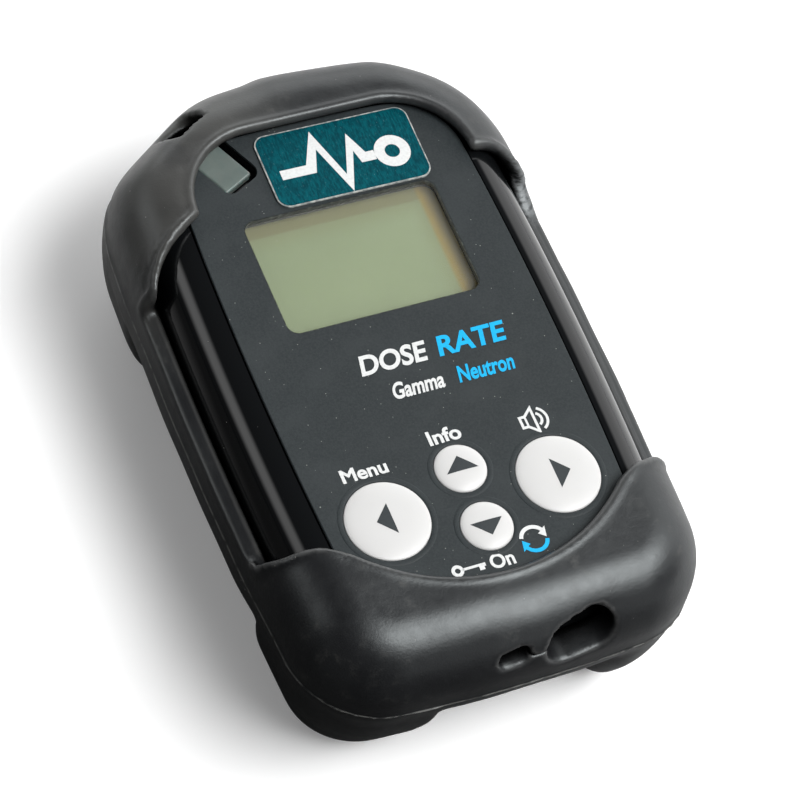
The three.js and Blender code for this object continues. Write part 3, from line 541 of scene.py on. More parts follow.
def key_white():
    s = Shader("key_white", roughness=0.34, ior=1.48, subsurface_weight=0.15, subsurface_scale=0.3)
    s.paint(s.noise(5, 3), (0.55, 0.548, 0.54), (0.58, 0.578, 0.572))
    s.coat(s.specks(2.2, 0.07, 0.15), (0.28, 0.28, 0.27), 0.4)
    s.set(subsurface_radius=(0.002, 0.002, 0.002))
    return s.finish((s.noise(0.5, 2), 0.004))


def two_tone(name, size, limits, dark, pale, depth, detail=4, **values):
    """Two colours mixed by noise between limits, with a bump from the same noise."""
    s = Shader(name, **values)
    pattern = s.noise(size, detail)
    s.paint(s.ramp(pattern, *limits), dark, pale)
    return s.finish((pattern, depth))


def print_ink(name, colour):
    """Screen-printed ink: a flat colour broken by the film's grain."""
    values = {"roughness": 0.5, "specular_ior_level": 0.3}
    return two_tone(name, 0.4, (0.3, 0.6), shade(0.9, colour), colour, 0.008, **values)


def lcd_green():
    """A reflective display with a warm painted shadow along its top and right edges, where the window's edge
    would shade it, and darker along its bottom edge.
    """
    s = Shader("lcd_green")
    x, y = s.axis(0), s.axis(1)
    right, top = s.math("SUBTRACT", WINDOW[1], x), s.math("SUBTRACT", WINDOW[3], y)
    s.paint(s.ramp(s.noise(9, 2), 0.3, 0.7), (0.18, 0.225, 0.107), (0.19, 0.237, 0.115))
    # Painted shadow of the window's top and right edges: a soft wide band, then a brown band along the top
    # and a browner one along the right.
    s.coat(s.ramp(s.math("MINIMUM", right, top), 5.2, 1.6), (0.16, 0.175, 0.06), 0.55)
    s.coat(s.ramp(top, 2.1, 1.3), (0.14, 0.135, 0.045))
    s.coat(s.ramp(right, 2.7, 1.7), (0.24, 0.165, 0.012))
    s.coat(s.ramp(s.math("SUBTRACT", y, WINDOW[2]), 2.6, 0.2), (0.165, 0.185, 0.08), 0.5)
    s.coat(s.specks(3.2, 0.12, 0.35), (0.38, 0.41, 0.27))
    s.set(roughness=s.scale(s.noise(1.2, 3), 0.3, 0.45))
    return s.finish()


def clear_lens():
    """Clear plastic that light passes straight through, with a reflecting face and a little dust."""
    s = Shader("clear_lens", roughness=0.06, ior=1.49)
    dust = s.specks(2.6, 0.1, 0.3)
    s.paint(dust, (0.9, 0.93, 0.9), (1, 1, 0.95))
    shine = s.times(s.node("Fresnel", IOR=1.49), 0.9)
    s.set(alpha=s.math("MAXIMUM", shine, s.times(dust, 0.6)))
    return s.finish((s.noise(8, 2), 0.01))


def milky_plastic():
    s = Shader("milky_plastic", roughness=0.3, ior=1.49, transmission_weight=0.25, subsurface_weight=0.5)
    s.paint(s.noise(2.5, 3), (0.11, 0.145, 0.138), (0.2, 0.235, 0.215))
    s.coat(s.specks(1.8, 0.12, 0.3), (0.48, 0.5, 0.47))
    s.set(subsurface_radius=(0.002, 0.003, 0.003), subsurface_scale=1.0)
    return s.finish((s.noise(0.8, 3), 0.02))


def moulded(name, colour, roughness):
    """Moulded plastic with a fine spark texture and slight mottling."""
    s = Shader(name)
    grain = s.noise(0.5, 3)
    s.paint(s.noise(6, 3), shade(0.85, colour), colour)
    s.set(roughness=s.scale(grain, roughness - 0.06, roughness + 0.08))
    return s.finish((grain, 0.02))


def board_green():
    s = Shader("board_green", roughness=0.35, ior=1.5)
    tracks = s.node("TexBrick", Vector=s.place, Scale=260.0, **{"Mortar Size": 0.05})
    weave = s.noise(0.6, 3)
    s.paint(tracks, (0.01, 0.06, 0.025), (0.02, 0.12, 0.05))
    s.coat(weave, (0.03, 0.16, 0.07), 0.4)
    return s.finish((weave, 0.02))


def metal(name, colour, roughness, stretch=(1, 6, 6)):
    """Bright metal with fine drawn streaks and a few dull spots."""
    s = Shader(name, metallic=1.0)
    streak, dull = s.noise(1.5, 5, stretch=stretch), s.noise(4, 4)
    s.paint(s.ramp(dull, 0.4, 0.75), colour, shade(0.75, colour))
    uneven = s.times(s.math("ADD", streak, dull), 0.5)
    s.set(roughness=s.scale(uneven, roughness - 0.1, roughness + 0.15))
    return s.finish((streak, 0.008))


def cell_wrap():
    s = Shader("cell_wrap", roughness=0.25, ior=1.5)
    s.paint(s.noise(3, 3), (0.01, 0.03, 0.16), (0.02, 0.05, 0.24))
    s.coat(s.ramp(s.axis(1), 8.0, 8.2), (0.45, 0.42, 0.3))
    return s.finish((s.noise(2, 3), 0.03))


def amber_glass():
    s = Shader("amber_glass", roughness=0.08, ior=1.5)
    s.paint(s.noise(3, 3), (0.25, 0.17, 0.08), (0.35, 0.26, 0.14))
    return s.finish((s.noise(4, 2), 0.02))


# By the record's slots; a name that the CAD's own materials hold already gets a number at its end.
PALETTE = {
    material.name.partition(".")[0]: material
    for material in (
        sleeve_rubber(), gloss_black(), overlay_film(), label_film(), key_white(), clear_lens(), lcd_green(),
        milky_plastic(), board_green(), cell_wrap(), amber_glass(),
        moulded("white_plastic", (0.7, 0.7, 0.67), 0.5),
        moulded("black_plastic", (0.02, 0.02, 0.021), 0.5),
        moulded("seal_rubber", (0.018, 0.018, 0.018), 0.75),
        metal("steel", (0.56, 0.56, 0.57), 0.3),
        metal("tin_plate", (0.68, 0.69, 0.7), 0.32, stretch=(6, 1, 6)),
        metal("brass", (0.63, 0.46, 0.2), 0.3),
    )
}
WHITE_INK = print_ink("white_ink", (0.64, 0.65, 0.645))
CYAN_INK = print_ink("cyan_ink", (0.0, 0.38, 0.72))
DARK_INK = print_ink("dark_ink", (0.028, 0.034, 0.037))
LABEL_EDGE = two_tone(
    "label_edge", 0.8, (0.35, 0.65), (0.17, 0.19, 0.19), (0.44, 0.45, 0.43), 0.02, roughness=0.35,
)
WINDOW_RIM = two_tone(
    "window_rim", 0.7, (0.48, 0.68), (0.012, 0.015, 0.013), (0.06, 0.07, 0.062), 0.05, 5, roughness=0.4,
)


# ---- the rubber sleeve

DEEP = 60.0  # an inset beyond the middle of any outline
EDGE_RISE = 0.3  # how far the lips' rounded edges stand proud

# Profiles of [inset from the plan outline, z] pairs, from low to high.
BODY_PROFILE = (
    smooth_path([
        (13.2, 0.7), (11.2, 1.6), (10.0, 3.4), (4.2, 12), (1.9, 16), (0.9, 18), (0.25, 20), (0, SEAM),
    ])
    + quarter_ellipse(9.5, 24.5, LIP_TOP - EDGE_RISE) + [(DEEP, LIP_TOP - EDGE_RISE), (DEEP, 0.7)]
)
FOOT_PROFILE = smooth_path([
    (8.5, 0), (7, 0.4), (5, 2.5), (3.4, 5), (2.0, 8.5), (0.9, 12), (0.25, 16), (0.05, 19), (0.05, SEAM),
]) + [(DEEP, SEAM), (DEEP, 0)]
CAVITY_PROFILE = (
    [(DEEP, 2.2), (11.2, 2.2), (9.6, 3.5), (0.6, 18.1), (-0.1, 20), (-CLEARANCE, 22)]
    + [(inset - CLEARANCE, z + CLEARANCE / 2) for inset, z in quarter_ellipse(RIDGE, RIM, FACE)]
    + [(RIDGE - CLEARANCE, OVERLAY_TOP + CLEARANCE), (DEEP, OVERLAY_TOP + CLEARANCE)]
)
FOOT_FROM_X, TOP_FOOT_Y, BOTTOM_FOOT_Y = 9.5, 21.0, -28.0
FACET_NORMAL = (-0.56, 0.828)  # plan direction the flattened corner faces
FACET_REACH = 51.2  # its distance from the middle of the meter where its slope begins
FACET_WALL = 1.0  # the rubber behind it is at least this thick
CORNER_SLOT = (10.3, 32.4)  # place along the flattened corner, z
CORNER_SLOT_HALF = (3.4, 2.4)
CORNER_SLOT_RADIUS, CORNER_SLOT_DEPTH = 1.1, 7
HORN = (21.4, -32.1)  # where the bottom lip's hollow arc ends
HOLLOW_Y = -10.95  # middle of that arc
BACK_OPENING = (-17, 17, -37.5, 23)  # x from, x to, y from, y to
BACK_OPENING_TOP = 4.5  # z where it has passed the rubber


def lip_opening():
    """The opening between the lips: an arch at the top, a hollow arc at the bottom, side rims between."""
    far, arch_y, arch_r = 45, 28.65, 12
    x, y = HORN
    turn = math.degrees(math.atan2(y - HOLLOW_Y, x))
    left = [
        (-far, -23), (-34, -24.2), (-32.2, -26.6), (-30.3, -28.2), (-27.7, -28.9), (-24.8, -29.9), (-x, y),
    ]
    right = [(x, y), (24.4, -30.4), (27, -29.6), (31.5, -28.4), (far, -27)]
    return (
        arc(11.5, arch_y, arch_r, 0, 90, 24) + arc(-9.7, arch_y, arch_r, 90, 180, 24)
        + bezier([(-21.7, arch_y), (-24, 26.6), (-29.5, 25.6), (-31.3, 19.5)], 16) + [(-far, 19.5)]
        + smooth_path(left, 8)[:-1]
        + arc(0, HOLLOW_Y, math.hypot(x, y - HOLLOW_Y), -180 - turn, turn, 60)
        + smooth_path(right, 8)[1:] + [(far, 24.3)]
        + bezier([(33.5, 24.3), (30.2, 24.6), (29.8, 28.2), (26, 28.5)], 12)
    )


def smooth_max(a, b, k):
    h = np.maximum(k - np.abs(a - b), 0) / k
    return np.maximum(a, b) + h * h * k / 4


def smooth_min(a, b, k):
    return -smooth_max(-a, -b, k)


def bell(x):
    return np.exp(-x * x)


def step_up(x, low, high):
    """Rises smoothly from 0 at low to 1 at high."""
    t = np.clip((x - low) / (high - low), 0, 1)
    return t * t * (3 - 2 * t)


class SleeveShape:
    """The sleeve's signed distance field: negative in the rubber."""

    def __init__(self):
        insets, heights = (-9, 40), (-3, 42)
        profiles = BODY_PROFILE, FOOT_PROFILE, CAVITY_PROFILE
        self.body, self.foot, self.cavity = (Field(p, insets, heights, 0.1) for p in profiles)
        width, length = (-40, 40), (-60, 60)
        self.opening = Field(lip_opening(), width, length, 0.15)
        self.back = Field(rounded_rect(*BACK_OPENING, 5), width, length, 0.2)

    def __call__(self, p):
        x, y, z = p[:, 0], p[:, 1], p[:, 2]
        ring = SLEEVE.inset(x, y)
        opening = self.opening(x, y)
        solid = self.outside(x, y, z, ring, opening)
        cavity = np.maximum(self.cavity(CASE.inset(x, y), z), self.facet(x, y, z) + FACET_WALL)
        solid = smooth_max(solid, -cavity, 0.4)
        ramp = 2.6 * step_up(y, 18.5, 25.5) * step_up(x, 24, 27)
        cut = smooth_max(opening, RIM + ramp - z, 1.8)
        solid = smooth_max(solid, -cut, 0.9)
        solid = smooth_min(solid, self.rim_bead(x, y, z), 0.5)
        solid = smooth_max(solid, -np.maximum(self.back(x, y), z - BACK_OPENING_TOP), 0.8)
        return self.holes(solid, x, y, z)

    def outside(self, x, y, z, ring, opening):
        above = 1 / (1 + np.exp(-(z - RIM) * 4))
        swell = EDGE_RISE * bell((opening - 0.85) / 0.6) * above
        wave = 0.07 * np.sin(x * 0.35 + 1.3 * np.sin(y * 0.11)) * np.sin(y * 0.27 + z * 0.2)
        belly = 1.4 * step_up(np.abs(x), 24, 33) * bell((z - 18) / 3.9) * (1 - step_up(np.abs(y), 22, 42))
        pad = 0.45 * step_up(x, -6, -2) * (1 - step_up(x, 15, 22)) * step_up(y, 30, 45)
        body = self.body(ring + belly + pad, z) - swell + wave
        sides = np.where((x > 0) & (y < 0), 17, np.where(y < 0, 10.5, FOOT_FROM_X)) - np.abs(x)
        ends = np.where(y > 0, TOP_FOOT_Y - y, y - BOTTOM_FOOT_Y)
        thin = 0.9 * step_up(-y, 40, 52) * (x < 0) - 0.4 * (y > 0) + 0.3 * (x > 0) * (y < 0)
        foot = smooth_max(self.foot(ring, z) + thin, smooth_max(sides, ends, 3), 3.5)
        solid = smooth_max(smooth_min(body, foot, 0.7), -z, 0.3)
        flash = np.maximum(np.abs(z - SEAM) - 0.1, -ring - 0.18 + 0.06 * np.sin(x * 1.7) * np.sin(y * 1.3))
        solid = smooth_min(solid, np.maximum(flash, ring - 2), 0.15)
        return smooth_max(solid, self.facet(x, y, z), 1.6) + self.wrinkles(x, y, z, opening)

    def facet(self, x, y, z):
        """The flattened top left corner, where the light pipe looks out."""
        out = x * FACET_NORMAL[0] + y * FACET_NORMAL[1] - FACET_REACH
        steep, sloped = out + 0.12 * (z - 28), 0.88 * (out + 0.55 * (z - 28))
        return smooth_max(steep, sloped, 1.5)

    def wrinkles(self, x, y, z, opening):
        """Fine creases along the worn end of the top cap, deepest at its left end."""
        left = bell((y - 25.5) / 3.5) * bell((opening - 1.3) / 1.6) * (x < -19)
        right = 0.5 * bell((y - 25) / 3) * bell((opening - 1.2) / 1.4) * (x > 21)
        path = opening * 4.6 + 0.9 * np.sin(y * 1.9 + z) + 0.6 * np.sin(x * 3.1)
        return 0.13 * (left + right) * np.sin(path) * (z > RIM - 2)

    def rim_bead(self, x, y, z):
        """The rounded bead along the inner top edge of each side rim."""
        inset = CASE.inset(x, y)
        return np.hypot(inset + CLEARANCE + 0.75, z - (RIM - 0.25)) - 0.7

    def holes(self, solid, x, y, z):
        r = CORNER_SLOT_RADIUS
        across = np.abs(x * FACET_NORMAL[1] - y * FACET_NORMAL[0] - CORNER_SLOT[0]) - CORNER_SLOT_HALF[0] + r
        above = np.abs(z - CORNER_SLOT[1]) - CORNER_SLOT_HALF[1] + r
        slot = np.hypot(np.maximum(across, 0), np.maximum(above, 0)) - r
        inner = FACET_REACH - CORNER_SLOT_DEPTH - x * FACET_NORMAL[0] - y * FACET_NORMAL[1]
        solid = smooth_max(solid, -np.maximum(slot, inner), 0.5)
        end = y - END_HOLES_TO
        for hx, hz, half, r in (CABLE_HOLE, SMALL_HOLE):
            u = (x - hx) * math.cos(HOLE_TILT) + (z - hz) * math.sin(HOLE_TILT)
            v = (z - hz) * math.cos(HOLE_TILT) - (x - hx) * math.sin(HOLE_TILT)
            hole = np.hypot(np.maximum(np.abs(u) - half, 0), v) - r
            solid = smooth_max(solid, -np.maximum(hole, end), 0.7)
        slit = np.maximum(np.abs(z - SLIT_Z) - SLIT_HALF, np.abs(x - 1.5) - 4)
        return smooth_max(solid, -np.maximum(slit, end), 0.25)


def surface_net(field, axes):
    """Quads over a field's zero surface on a grid of uneven steps, pulled onto the surface afterwards."""
    x, y = np.meshgrid(axes[0], axes[1], indexing="ij")
    layers = [field(np.column_stack([x.ravel(), y.ravel(), np.full(x.size, z)])) for z in axes[2]]
    values = np.stack([layer.reshape(x.shape) for layer in layers], 2)
    inside = values < 0
    cells = tuple(n - 1 for n in values.shape)
    count = 0
    for i, j, k in itertools.product((0, 1), repeat=3):
        count = count + inside[i:i + cells[0], j:j + cells[1], k:k + cells[2]].astype(int)
    active = (count > 0) & (count < 8)
    number = np.full(cells, -1)
    number[active] = np.arange(active.sum())
    at, unit = np.argwhere(active), np.eye(3, dtype=int)
    total, hits = np.zeros((len(at), 3)), np.zeros((len(at), 1))
    for start, axis in itertools.product(itertools.product((0, 1), repeat=3), range(3)):
        if start[axis]:
            continue
        a = at + start
        b = a + unit[axis]
        fa, fb = values[tuple(a.T)], values[tuple(b.T)]
        crossing = (fa < 0) != (fb < 0)
        t = np.where(crossing, fa / np.where(crossing, fa - fb, 1), 0)
        pa, pb = (np.column_stack([axes[d][q[:, d]] for d in range(3)]) for q in (a, b))
        total += np.where(crossing[:, None], pa + t[:, None] * (pb - pa), 0)
        hits += crossing[:, None]
    points = total / hits
    quads = []
    for axis in range(3):
        u, v = (axis + 1) % 3, (axis + 2) % 3
        edge = np.argwhere(np.diff(inside, axis=axis))
        edge = edge[(edge[:, u] > 0) & (edge[:, v] > 0) & (edge[:, u] < cells[u]) & (edge[:, v] < cells[v])]
        around = [edge - du * unit[u] - dv * unit[v] for du, dv in ((1, 1), (0, 1), (0, 0), (1, 0))]
        quad = np.column_stack([number[tuple(c.T)] for c in around])
        outward = inside[tuple(edge.T)]
        quads.append(np.where(outward[:, None], quad, quad[:, ::-1]))
    return settle(field, points), np.concatenate(quads)


def gradient(field, points, step=0.05):
    shifts = np.eye(3) * step
    return np.column_stack([(field(points + d) - field(points - d)) / (2 * step) for d in shifts])


def settle(field, points, rounds=3, longest=0.25):
    """Moves points onto a field's zero surface by short steps down its slope."""
    for _ in range(rounds):
        slope = gradient(field, points)
        size = np.maximum((slope**2).sum(1), 0.2)
        step = -slope * (field(points) / size)[:, None]
        length = np.linalg.norm(step, axis=1)[:, None]
        points = points + step * np.minimum(1, longest / np.maximum(length, 1e-9))
    return points


def heights_with(step, fine):
    """Grid heights at a plain step, with finer steps round some, given as (height, half width, step)."""
    z = np.arange(-1.0, sleeve_high[2] + 1.5, step)
    for centre, half, fine_step in fine:
        z = z[np.abs(z - centre) > half + 0.3 * step]
        z = np.concatenate([z, np.arange(centre - half, centre + half + 1e-6, fine_step)])
    return np.sort(z)


def make_sleeve():
    step = 0.6
    x, y = (np.arange(-half, half, step) for half in sleeve_high[:2] + 1.5)
    z = heights_with(step, [(SEAM, 0.4, 0.13), (SLIT_Z, 0.5, 0.13)])
    vertices, faces = surface_net(SleeveShape(), (x, y, z))
    sleeve = add_mesh("sleeve", vertices, faces, PALETTE["sleeve_rubber"], 180)
    finish_piece(sleeve, "rubber_sleeve")


def finish_piece(obj, replaced=None, body="casing"):
    """Puts a piece on its body; it may stand for a CAD node, which is then hidden."""
    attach(obj, body)
    if replaced:
        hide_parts(replaced)


# ---- the casing's face

LENS_SEAT = (-18, 18, 3.2, 28.2)  # x from, x to, y from, y to
LENS_SEAT_Z, OVERLAY_SEAT_Z = 31.6, 32.7
END_WALL = (-50, -43)  # y from outside the front shell's bottom end to inside it
BOSS_RADIUS, SCREW_HOLE_RADIUS = 2.6, 1.4
KEYS = ["key_left", "key_right", "key_up", "key_down"]
KEY_FLANGE = 0.7  # hidden flange round a key's cap


def key_size(node):
    """Centre x, centre y, cap radius, lowest and highest z of a key."""
    low, high = corners(node)
    x, y = (low + high)[:2] / 2
    return x, y, (high[0] - low[0]) / 2 - KEY_FLANGE, low[2], high[2]


def window_plan(grow, corner, steps=12):
    x0, x1, y0, y1 = WINDOW
    return rounded_rect(x0 - grow, x1 + grow, y0 - grow, y1 + grow, corner, steps)


def pipe_point(along, across):
    return tuple(PIPE_AT + PIPE_ALONG * along + PIPE_ACROSS * across)


def pipe_recess():
    """Plan of the recess the light pipe lies in: a strip whose inner end has round corners."""
    inner, left, right, r, reach = -1.55, -3.6, 3.4, 1.7, 16
    end = arc(inner + r, left + r, r, 180, 270, 8)[::-1] + arc(inner + r, right - r, r, 90, 180, 8)[::-1]
    return [pipe_point(*p) for p in [(reach, left), *end, (reach, right)]]


def make_front_shell():
    profile = [(0.25, SPLIT), (0, SPLIT + 0.25)] + quarter_ellipse(RIDGE, RIM, FACE, 20)
    shell = add_mesh("front_casing", *loft(CASE, profile), PALETTE["gloss_black"])
    inside = [(2, SPLIT - 1), (2, RIM), (2.7, 28), (3.8, 29.8), (5.2, CEILING)]
    steps = [(CUT, loft(CASE, inside))]
    for i in range(1, 5):
        low, high = corners(f"casing_screw_{i}")
        at = (low + high)[:2] / 2
        steps.append((JOIN, bar("z", at, SPLIT + 0.3, CEILING + 0.5, BOSS_RADIUS)))
        steps.append((CUT, bar("z", at, SPLIT, high[2] + 0.7, SCREW_HOLE_RADIUS)))
    groove = OVERLAY_INSET - CLEARANCE
    steps += [
        (CUT, loft(CASE, [(groove, OVERLAY_SEAT_Z), (groove, FACE + 1)])),
        (CUT, prism(rounded_rect(*LENS_SEAT, 1.5), LENS_SEAT_Z, FACE)),
        (CUT, prism(window_plan(0.4, 2, 8), CEILING - 1, FACE)),
        (CUT, prism(pipe_recess(), CEILING + 0.4, FACE + 1)),
    ]
    for node in KEYS:
        x, y, r, _, _ = key_size(node)
        steps.append((CUT, bar("z", (x, y), CEILING - 1, FACE, r + CLEARANCE)))
    for x, z, r in (JACK_HOLE, BUZZER_HOLE):
        steps.append((CUT, bar("y", (x, z), *END_WALL, r)))
    finish_piece(carve(shell, steps), "front_shell")


def make_overlay():
    bevel, key_gap = 0.12, 0.07
    low = overlay_low[2]
    edge, top = OVERLAY_INSET, OVERLAY_TOP
    profile = [(edge, low), (edge, top - bevel), (edge + bevel, top)]
    film = add_mesh("face_film", *loft(CASE, profile), PALETTE["overlay_film"])
    steps = [(CUT, prism(window_plan(0, WINDOW_CORNER), low - 1, OVERLAY_TOP + 1))]
    for node in KEYS:
        x, y, r, _, _ = key_size(node)
        steps.append((CUT, bar("z", (x, y), low - 1, OVERLAY_TOP + 1, r + key_gap, 96)))
    steps.append((CUT, prism(pipe_recess(), low - 1, OVERLAY_TOP + 1)))
    finish_piece(carve(film, steps), "front_overlay")


def make_key_surround(node):
    """The low embossed ring of film round a key."""
    x, y, r, _, _ = key_size(node)
    inner, width, rise, sunk = r + 0.12, 0.85, 0.09, 0.02
    t = np.linspace(0, math.pi, 9)
    hump = [(inner + width * (1 - math.cos(a)) / 2, OVERLAY_TOP - sunk + rise * math.sin(a)) for a in t]
    ring = hump + [(inner + width, OVERLAY_TOP - 0.1), (inner, OVERLAY_TOP - 0.1)]
    vertices, faces = revolve(ring[::-1], closed=True)
    vertices = np.array(vertices) + (x, y, 0)
    finish_piece(add_mesh("surround_" + node, vertices, faces, PALETTE["overlay_film"], 60))


def dome(r, rho, top):
    """Height of a key's gently domed cap at a distance from its centre."""
    rise = 0.7
    return top - rise + rise * np.sqrt(np.maximum(1 - (rho / r) ** 2.6, 0))


def make_key(node, turn):
    """A key's cap, flange and stem, with a printed triangle turned by a number of degrees."""
    x, y, r, low, top = key_size(node)
    rho = r * np.sin(np.linspace(math.pi / 2, 0, 26))
    cap = [(q, float(dome(r, q, top))) for q in rho]
    flange = r + KEY_FLANGE
    stem, under, over = 1.8, 29.2, 30.3
    profile = [(0, low), (stem, low), (stem, under), (flange, under), (flange, over), (r, over)] + cap
    vertices, faces = revolve(profile)
    body = node.replace("key_", "") + "_key"
    cap = add_mesh("cap_" + node, np.array(vertices) + (x, y, 0), faces, PALETTE["key_white"])
    finish_piece(cap, node, body)
    make_key_mark(node, body, turn)


@contextlib.contextmanager
def edited(obj):
    edit = bmesh.new()
    edit.from_mesh(obj.data)
    yield edit
    edit.to_mesh(obj.data)
    edit.free()


def make_key_mark(node, body, turn):
    """The triangle on a key, laid on its dome."""
    x, y, r, _, top = key_size(node)
    half, apex, base, sunk = 2.55, 1.85, -0.65, 0.03
    a = math.radians(turn)
    spin = np.array([[math.cos(a), -math.sin(a)], [math.sin(a), math.cos(a)]])
    points = [spin @ p for p in ((apex, 0), (base, half), (base, -half))]
    mark = ink("mark_" + node, [points], 0, PRINT, DARK_INK)
    with edited(mark) as edit:
        bmesh.ops.triangulate(edit, faces=edit.faces)
        bmesh.ops.subdivide_edges(edit, edges=edit.edges, cuts=5, use_grid_fill=True)
        for v in edit.verts:
            rho = math.hypot(v.co.x, v.co.y) / MM
            v.co += Vector((x, y, float(dome(r, rho, top)) - sunk)) * MM
    finish_piece(mark, body=body)


def make_light_pipe():
    """The milky pipe: a bar with a straight inner end that turns down behind the top left corner."""
    inner, outer, left, right = -0.5, 10.2, -3.35, 2.2
    top, low, end, wall = FACE, CEILING + 0.5, 27.5, 2.2
    side = [(inner, low), (inner, top)] + bezier([(6.5, top), (11, top), (outer, 29)], 8) + [(outer, end)]
    side += [(outer - wall, end), (outer - wall, 29.3), (9.5, low)]
    n = len(side)
    vertices = [(*pipe_point(s, across), z) for across in (left, right) for s, z in side]
    faces = [list(range(n)), list(range(n, 2 * n))[::-1]]
    faces += [(i, n + i, n + (i + 1) % n, (i + 1) % n) for i in range(n)]
    pipe = add_mesh("light_bar", vertices, faces, PALETTE["milky_plastic"])
    with edited(pipe) as edit:
        bmesh.ops.recalc_face_normals(edit, faces=edit.faces)
    soften(pipe, 0.35, 3, 50)
    finish_piece(pipe, "light_pipe")


def make_window_rim():
    """The rough edge of the clear window, a thin line round the display."""
    gap, width = 0.02, 0.16
    loops = [window_plan(-inset, WINDOW_CORNER - inset) for inset in (gap, gap + width)]
    low = corners("display_lens")[1][2] + gap
    thickness = OVERLAY_TOP - 0.05 - low
    finish_piece(ink("window_edge", loops, low, thickness, WINDOW_RIM))


# ---- print and label

def make_legends():
    """The printed words: name, text, x from, x to, baseline, cap height, ink and slant."""
    words = [
        ("title_dose", "DOSE", -8.1, 2.6, -4.1, 3.3, WHITE_INK, 0.2),
        ("title_rate", "RATE", 4.6, 15.6, -4.1, 3.3, CYAN_INK, 0.2),
        ("word_gamma", "Gamma", -5.0, 3.4, -9.2, 2.7, WHITE_INK, 0.2),
        ("word_neutron", "Neutron", 5.75, 14.9, -9.2, 2.7, CYAN_INK, 0.18),
        ("word_menu", "Menu", -17.7, -10.4, -20.3, 2.15, WHITE_INK, 0.0),
        ("word_info", "Info", -2.84, 2.42, -18.05, 2.35, WHITE_INK, 0.0),
        ("word_on", "On", -1.97, 1.83, -39.7, 2.25, WHITE_INK, 0.0),
    ]
    for word in words:
        finish_piece(lettering(*word))


def print_shape(name, loops, material):
    """Prints a shape on the face film."""
    finish_piece(ink(name, loops, OVERLAY_TOP, PRINT, material))


def stroke(points, width, closed=False):
    """The outline of a line of even width through the points, with mitred joints."""
    p = [np.array(q, float) for q in points]
    n = len(p)
    left, right = [], []
    for i in range(n):
        before = p[i] - p[i - 1] if closed or i else p[1] - p[0]
        after = p[(i + 1) % n] - p[i] if closed or i < n - 1 else p[-1] - p[-2]
        a = np.array([-before[1], before[0]]) / np.hypot(*before)
        b = np.array([-after[1], after[0]]) / np.hypot(*after)
        mitre = (a + b) / max(1 + a @ b, 0.35)
        left.append(tuple(p[i] + mitre * width / 2))
        right.append(tuple(p[i] - mitre * width / 2))
    return [left, right] if closed else [left + right[::-1]]


def make_speaker_icon():
    back, neck, mouth, width = 11.9, 12.75, 14.1, 0.42
    cone = [(back, -17.5), (neck, -17.5), (mouth, -16.3), (mouth, -20.4), (neck, -19.25), (back, -19.25)]
    shapes = [stroke(cone, width, closed=True), stroke([(neck, -17.7), (neck, -19.05)], width * 0.8)]
    shapes += [stroke(arc(mouth, -18.37, r, -62, 62, 16), width) for r in (1.1, 2.0)]
    for i, shape in enumerate(shapes):
        print_shape(f"icon_speaker_{i + 1}", shape, WHITE_INK)


def make_key_icon():
    x, y = -7.1, -38.5
    shaft = [(0.85, 0.2), (4.4, 0.2), (4.4, -0.35), (4.1, -0.35), (4.1, -0.85), (3.3, -0.85), (3.3, -0.2)]
    shaft.append((0.85, -0.2))
    print_shape("icon_key_bow", [circle(x, y, r, 24) for r in (0.95, 0.42)], WHITE_INK)
    print_shape("icon_key_shaft", [[(x + u, y + v) for u, v in shaft]], WHITE_INK)


def make_cycle_icon():
    """Two half-circle arrows that chase each other, one white and one cyan."""
    x, y, r, width = 5.92, -36.85, 1.95, 0.6
    for name, start, material in (("icon_cycle_over", 165, WHITE_INK), ("icon_cycle_under", -15, CYAN_INK)):
        stop = start - 130
        outer = arc(x, y, r + width / 2, start, stop, 20)
        inner = arc(x, y, r - width / 2, stop, start, 20)
        head = [arc(x, y, q, a, a, 0)[0] for q, a in ((r + 0.85, stop), (r, stop - 40), (r - 0.85, stop))]
        print_shape(name, [outer + head + inner], material)


def make_label():
    """The teal label: a pale edge, the brushed print, and a plain pulse mark."""
    low, high = corners("asset_label")
    middle = (low + high) / 2
    half_x, half_y, edge, corner = 12.75, 6.7, 0.22, 2.0
    top, print_depth, mark_depth, mark_y = high[2], 0.07, 0.03, -1.0
    turn = Matrix.Rotation(math.radians(-0.6), 4, "Z")
    move = Matrix.Translation((middle[0] * MM, middle[1] * MM, 0)) @ turn

    def plate(inset):
        x, y = half_x - inset, half_y - inset
        return [rounded_rect(-x, x, -y, y, corner - inset, 10)]

    peaks = [(-3.6, 3.9), (-0.6, -4.9), (1.9, 2.2)]
    pulse = [(-10.6, mark_y), (-5.6, mark_y), *peaks, (3.1, mark_y), (5, mark_y)]
    ring = [circle(7.9, mark_y, r, 36) for r in (2.9, 1.2)]
    pieces = [
        ("label_border", plate(0), low[2] - 0.15, top - low[2] + 0.08, LABEL_EDGE),
        ("label_print", plate(edge), top - print_depth, print_depth, PALETTE["label_film"]),
        ("label_pulse", stroke(pulse, 1.7), top, mark_depth, WHITE_INK),
        ("label_ring", ring, top, mark_depth, WHITE_INK),
    ]
    for name, loops, z, thickness, material in pieces:
        obj = ink(name, loops, z, thickness, material)
        obj.data.transform(move)
        finish_piece(obj, "asset_label" if name == "label_print" else None)


# ---- the CAD nodes that stay

def dress_cad_nodes():
    slots = {part["node"]: part["material_slot"] for part in frame["record"]["subparts"]}
    for name, obj in frame["nodes"].items():
        if obj.hide_render:
            continue
        for i in range(len(obj.data.materials)):
            obj.data.materials[i] = PALETTE[slots[name]]
        smooth(obj.data, 32)
        soften(obj, 0.12 if name != "battery_cover" else 0.25)


# ---- floor, lights and camera

FOCUS = Vector((-4.2, -9.5, 33.5)) * MM


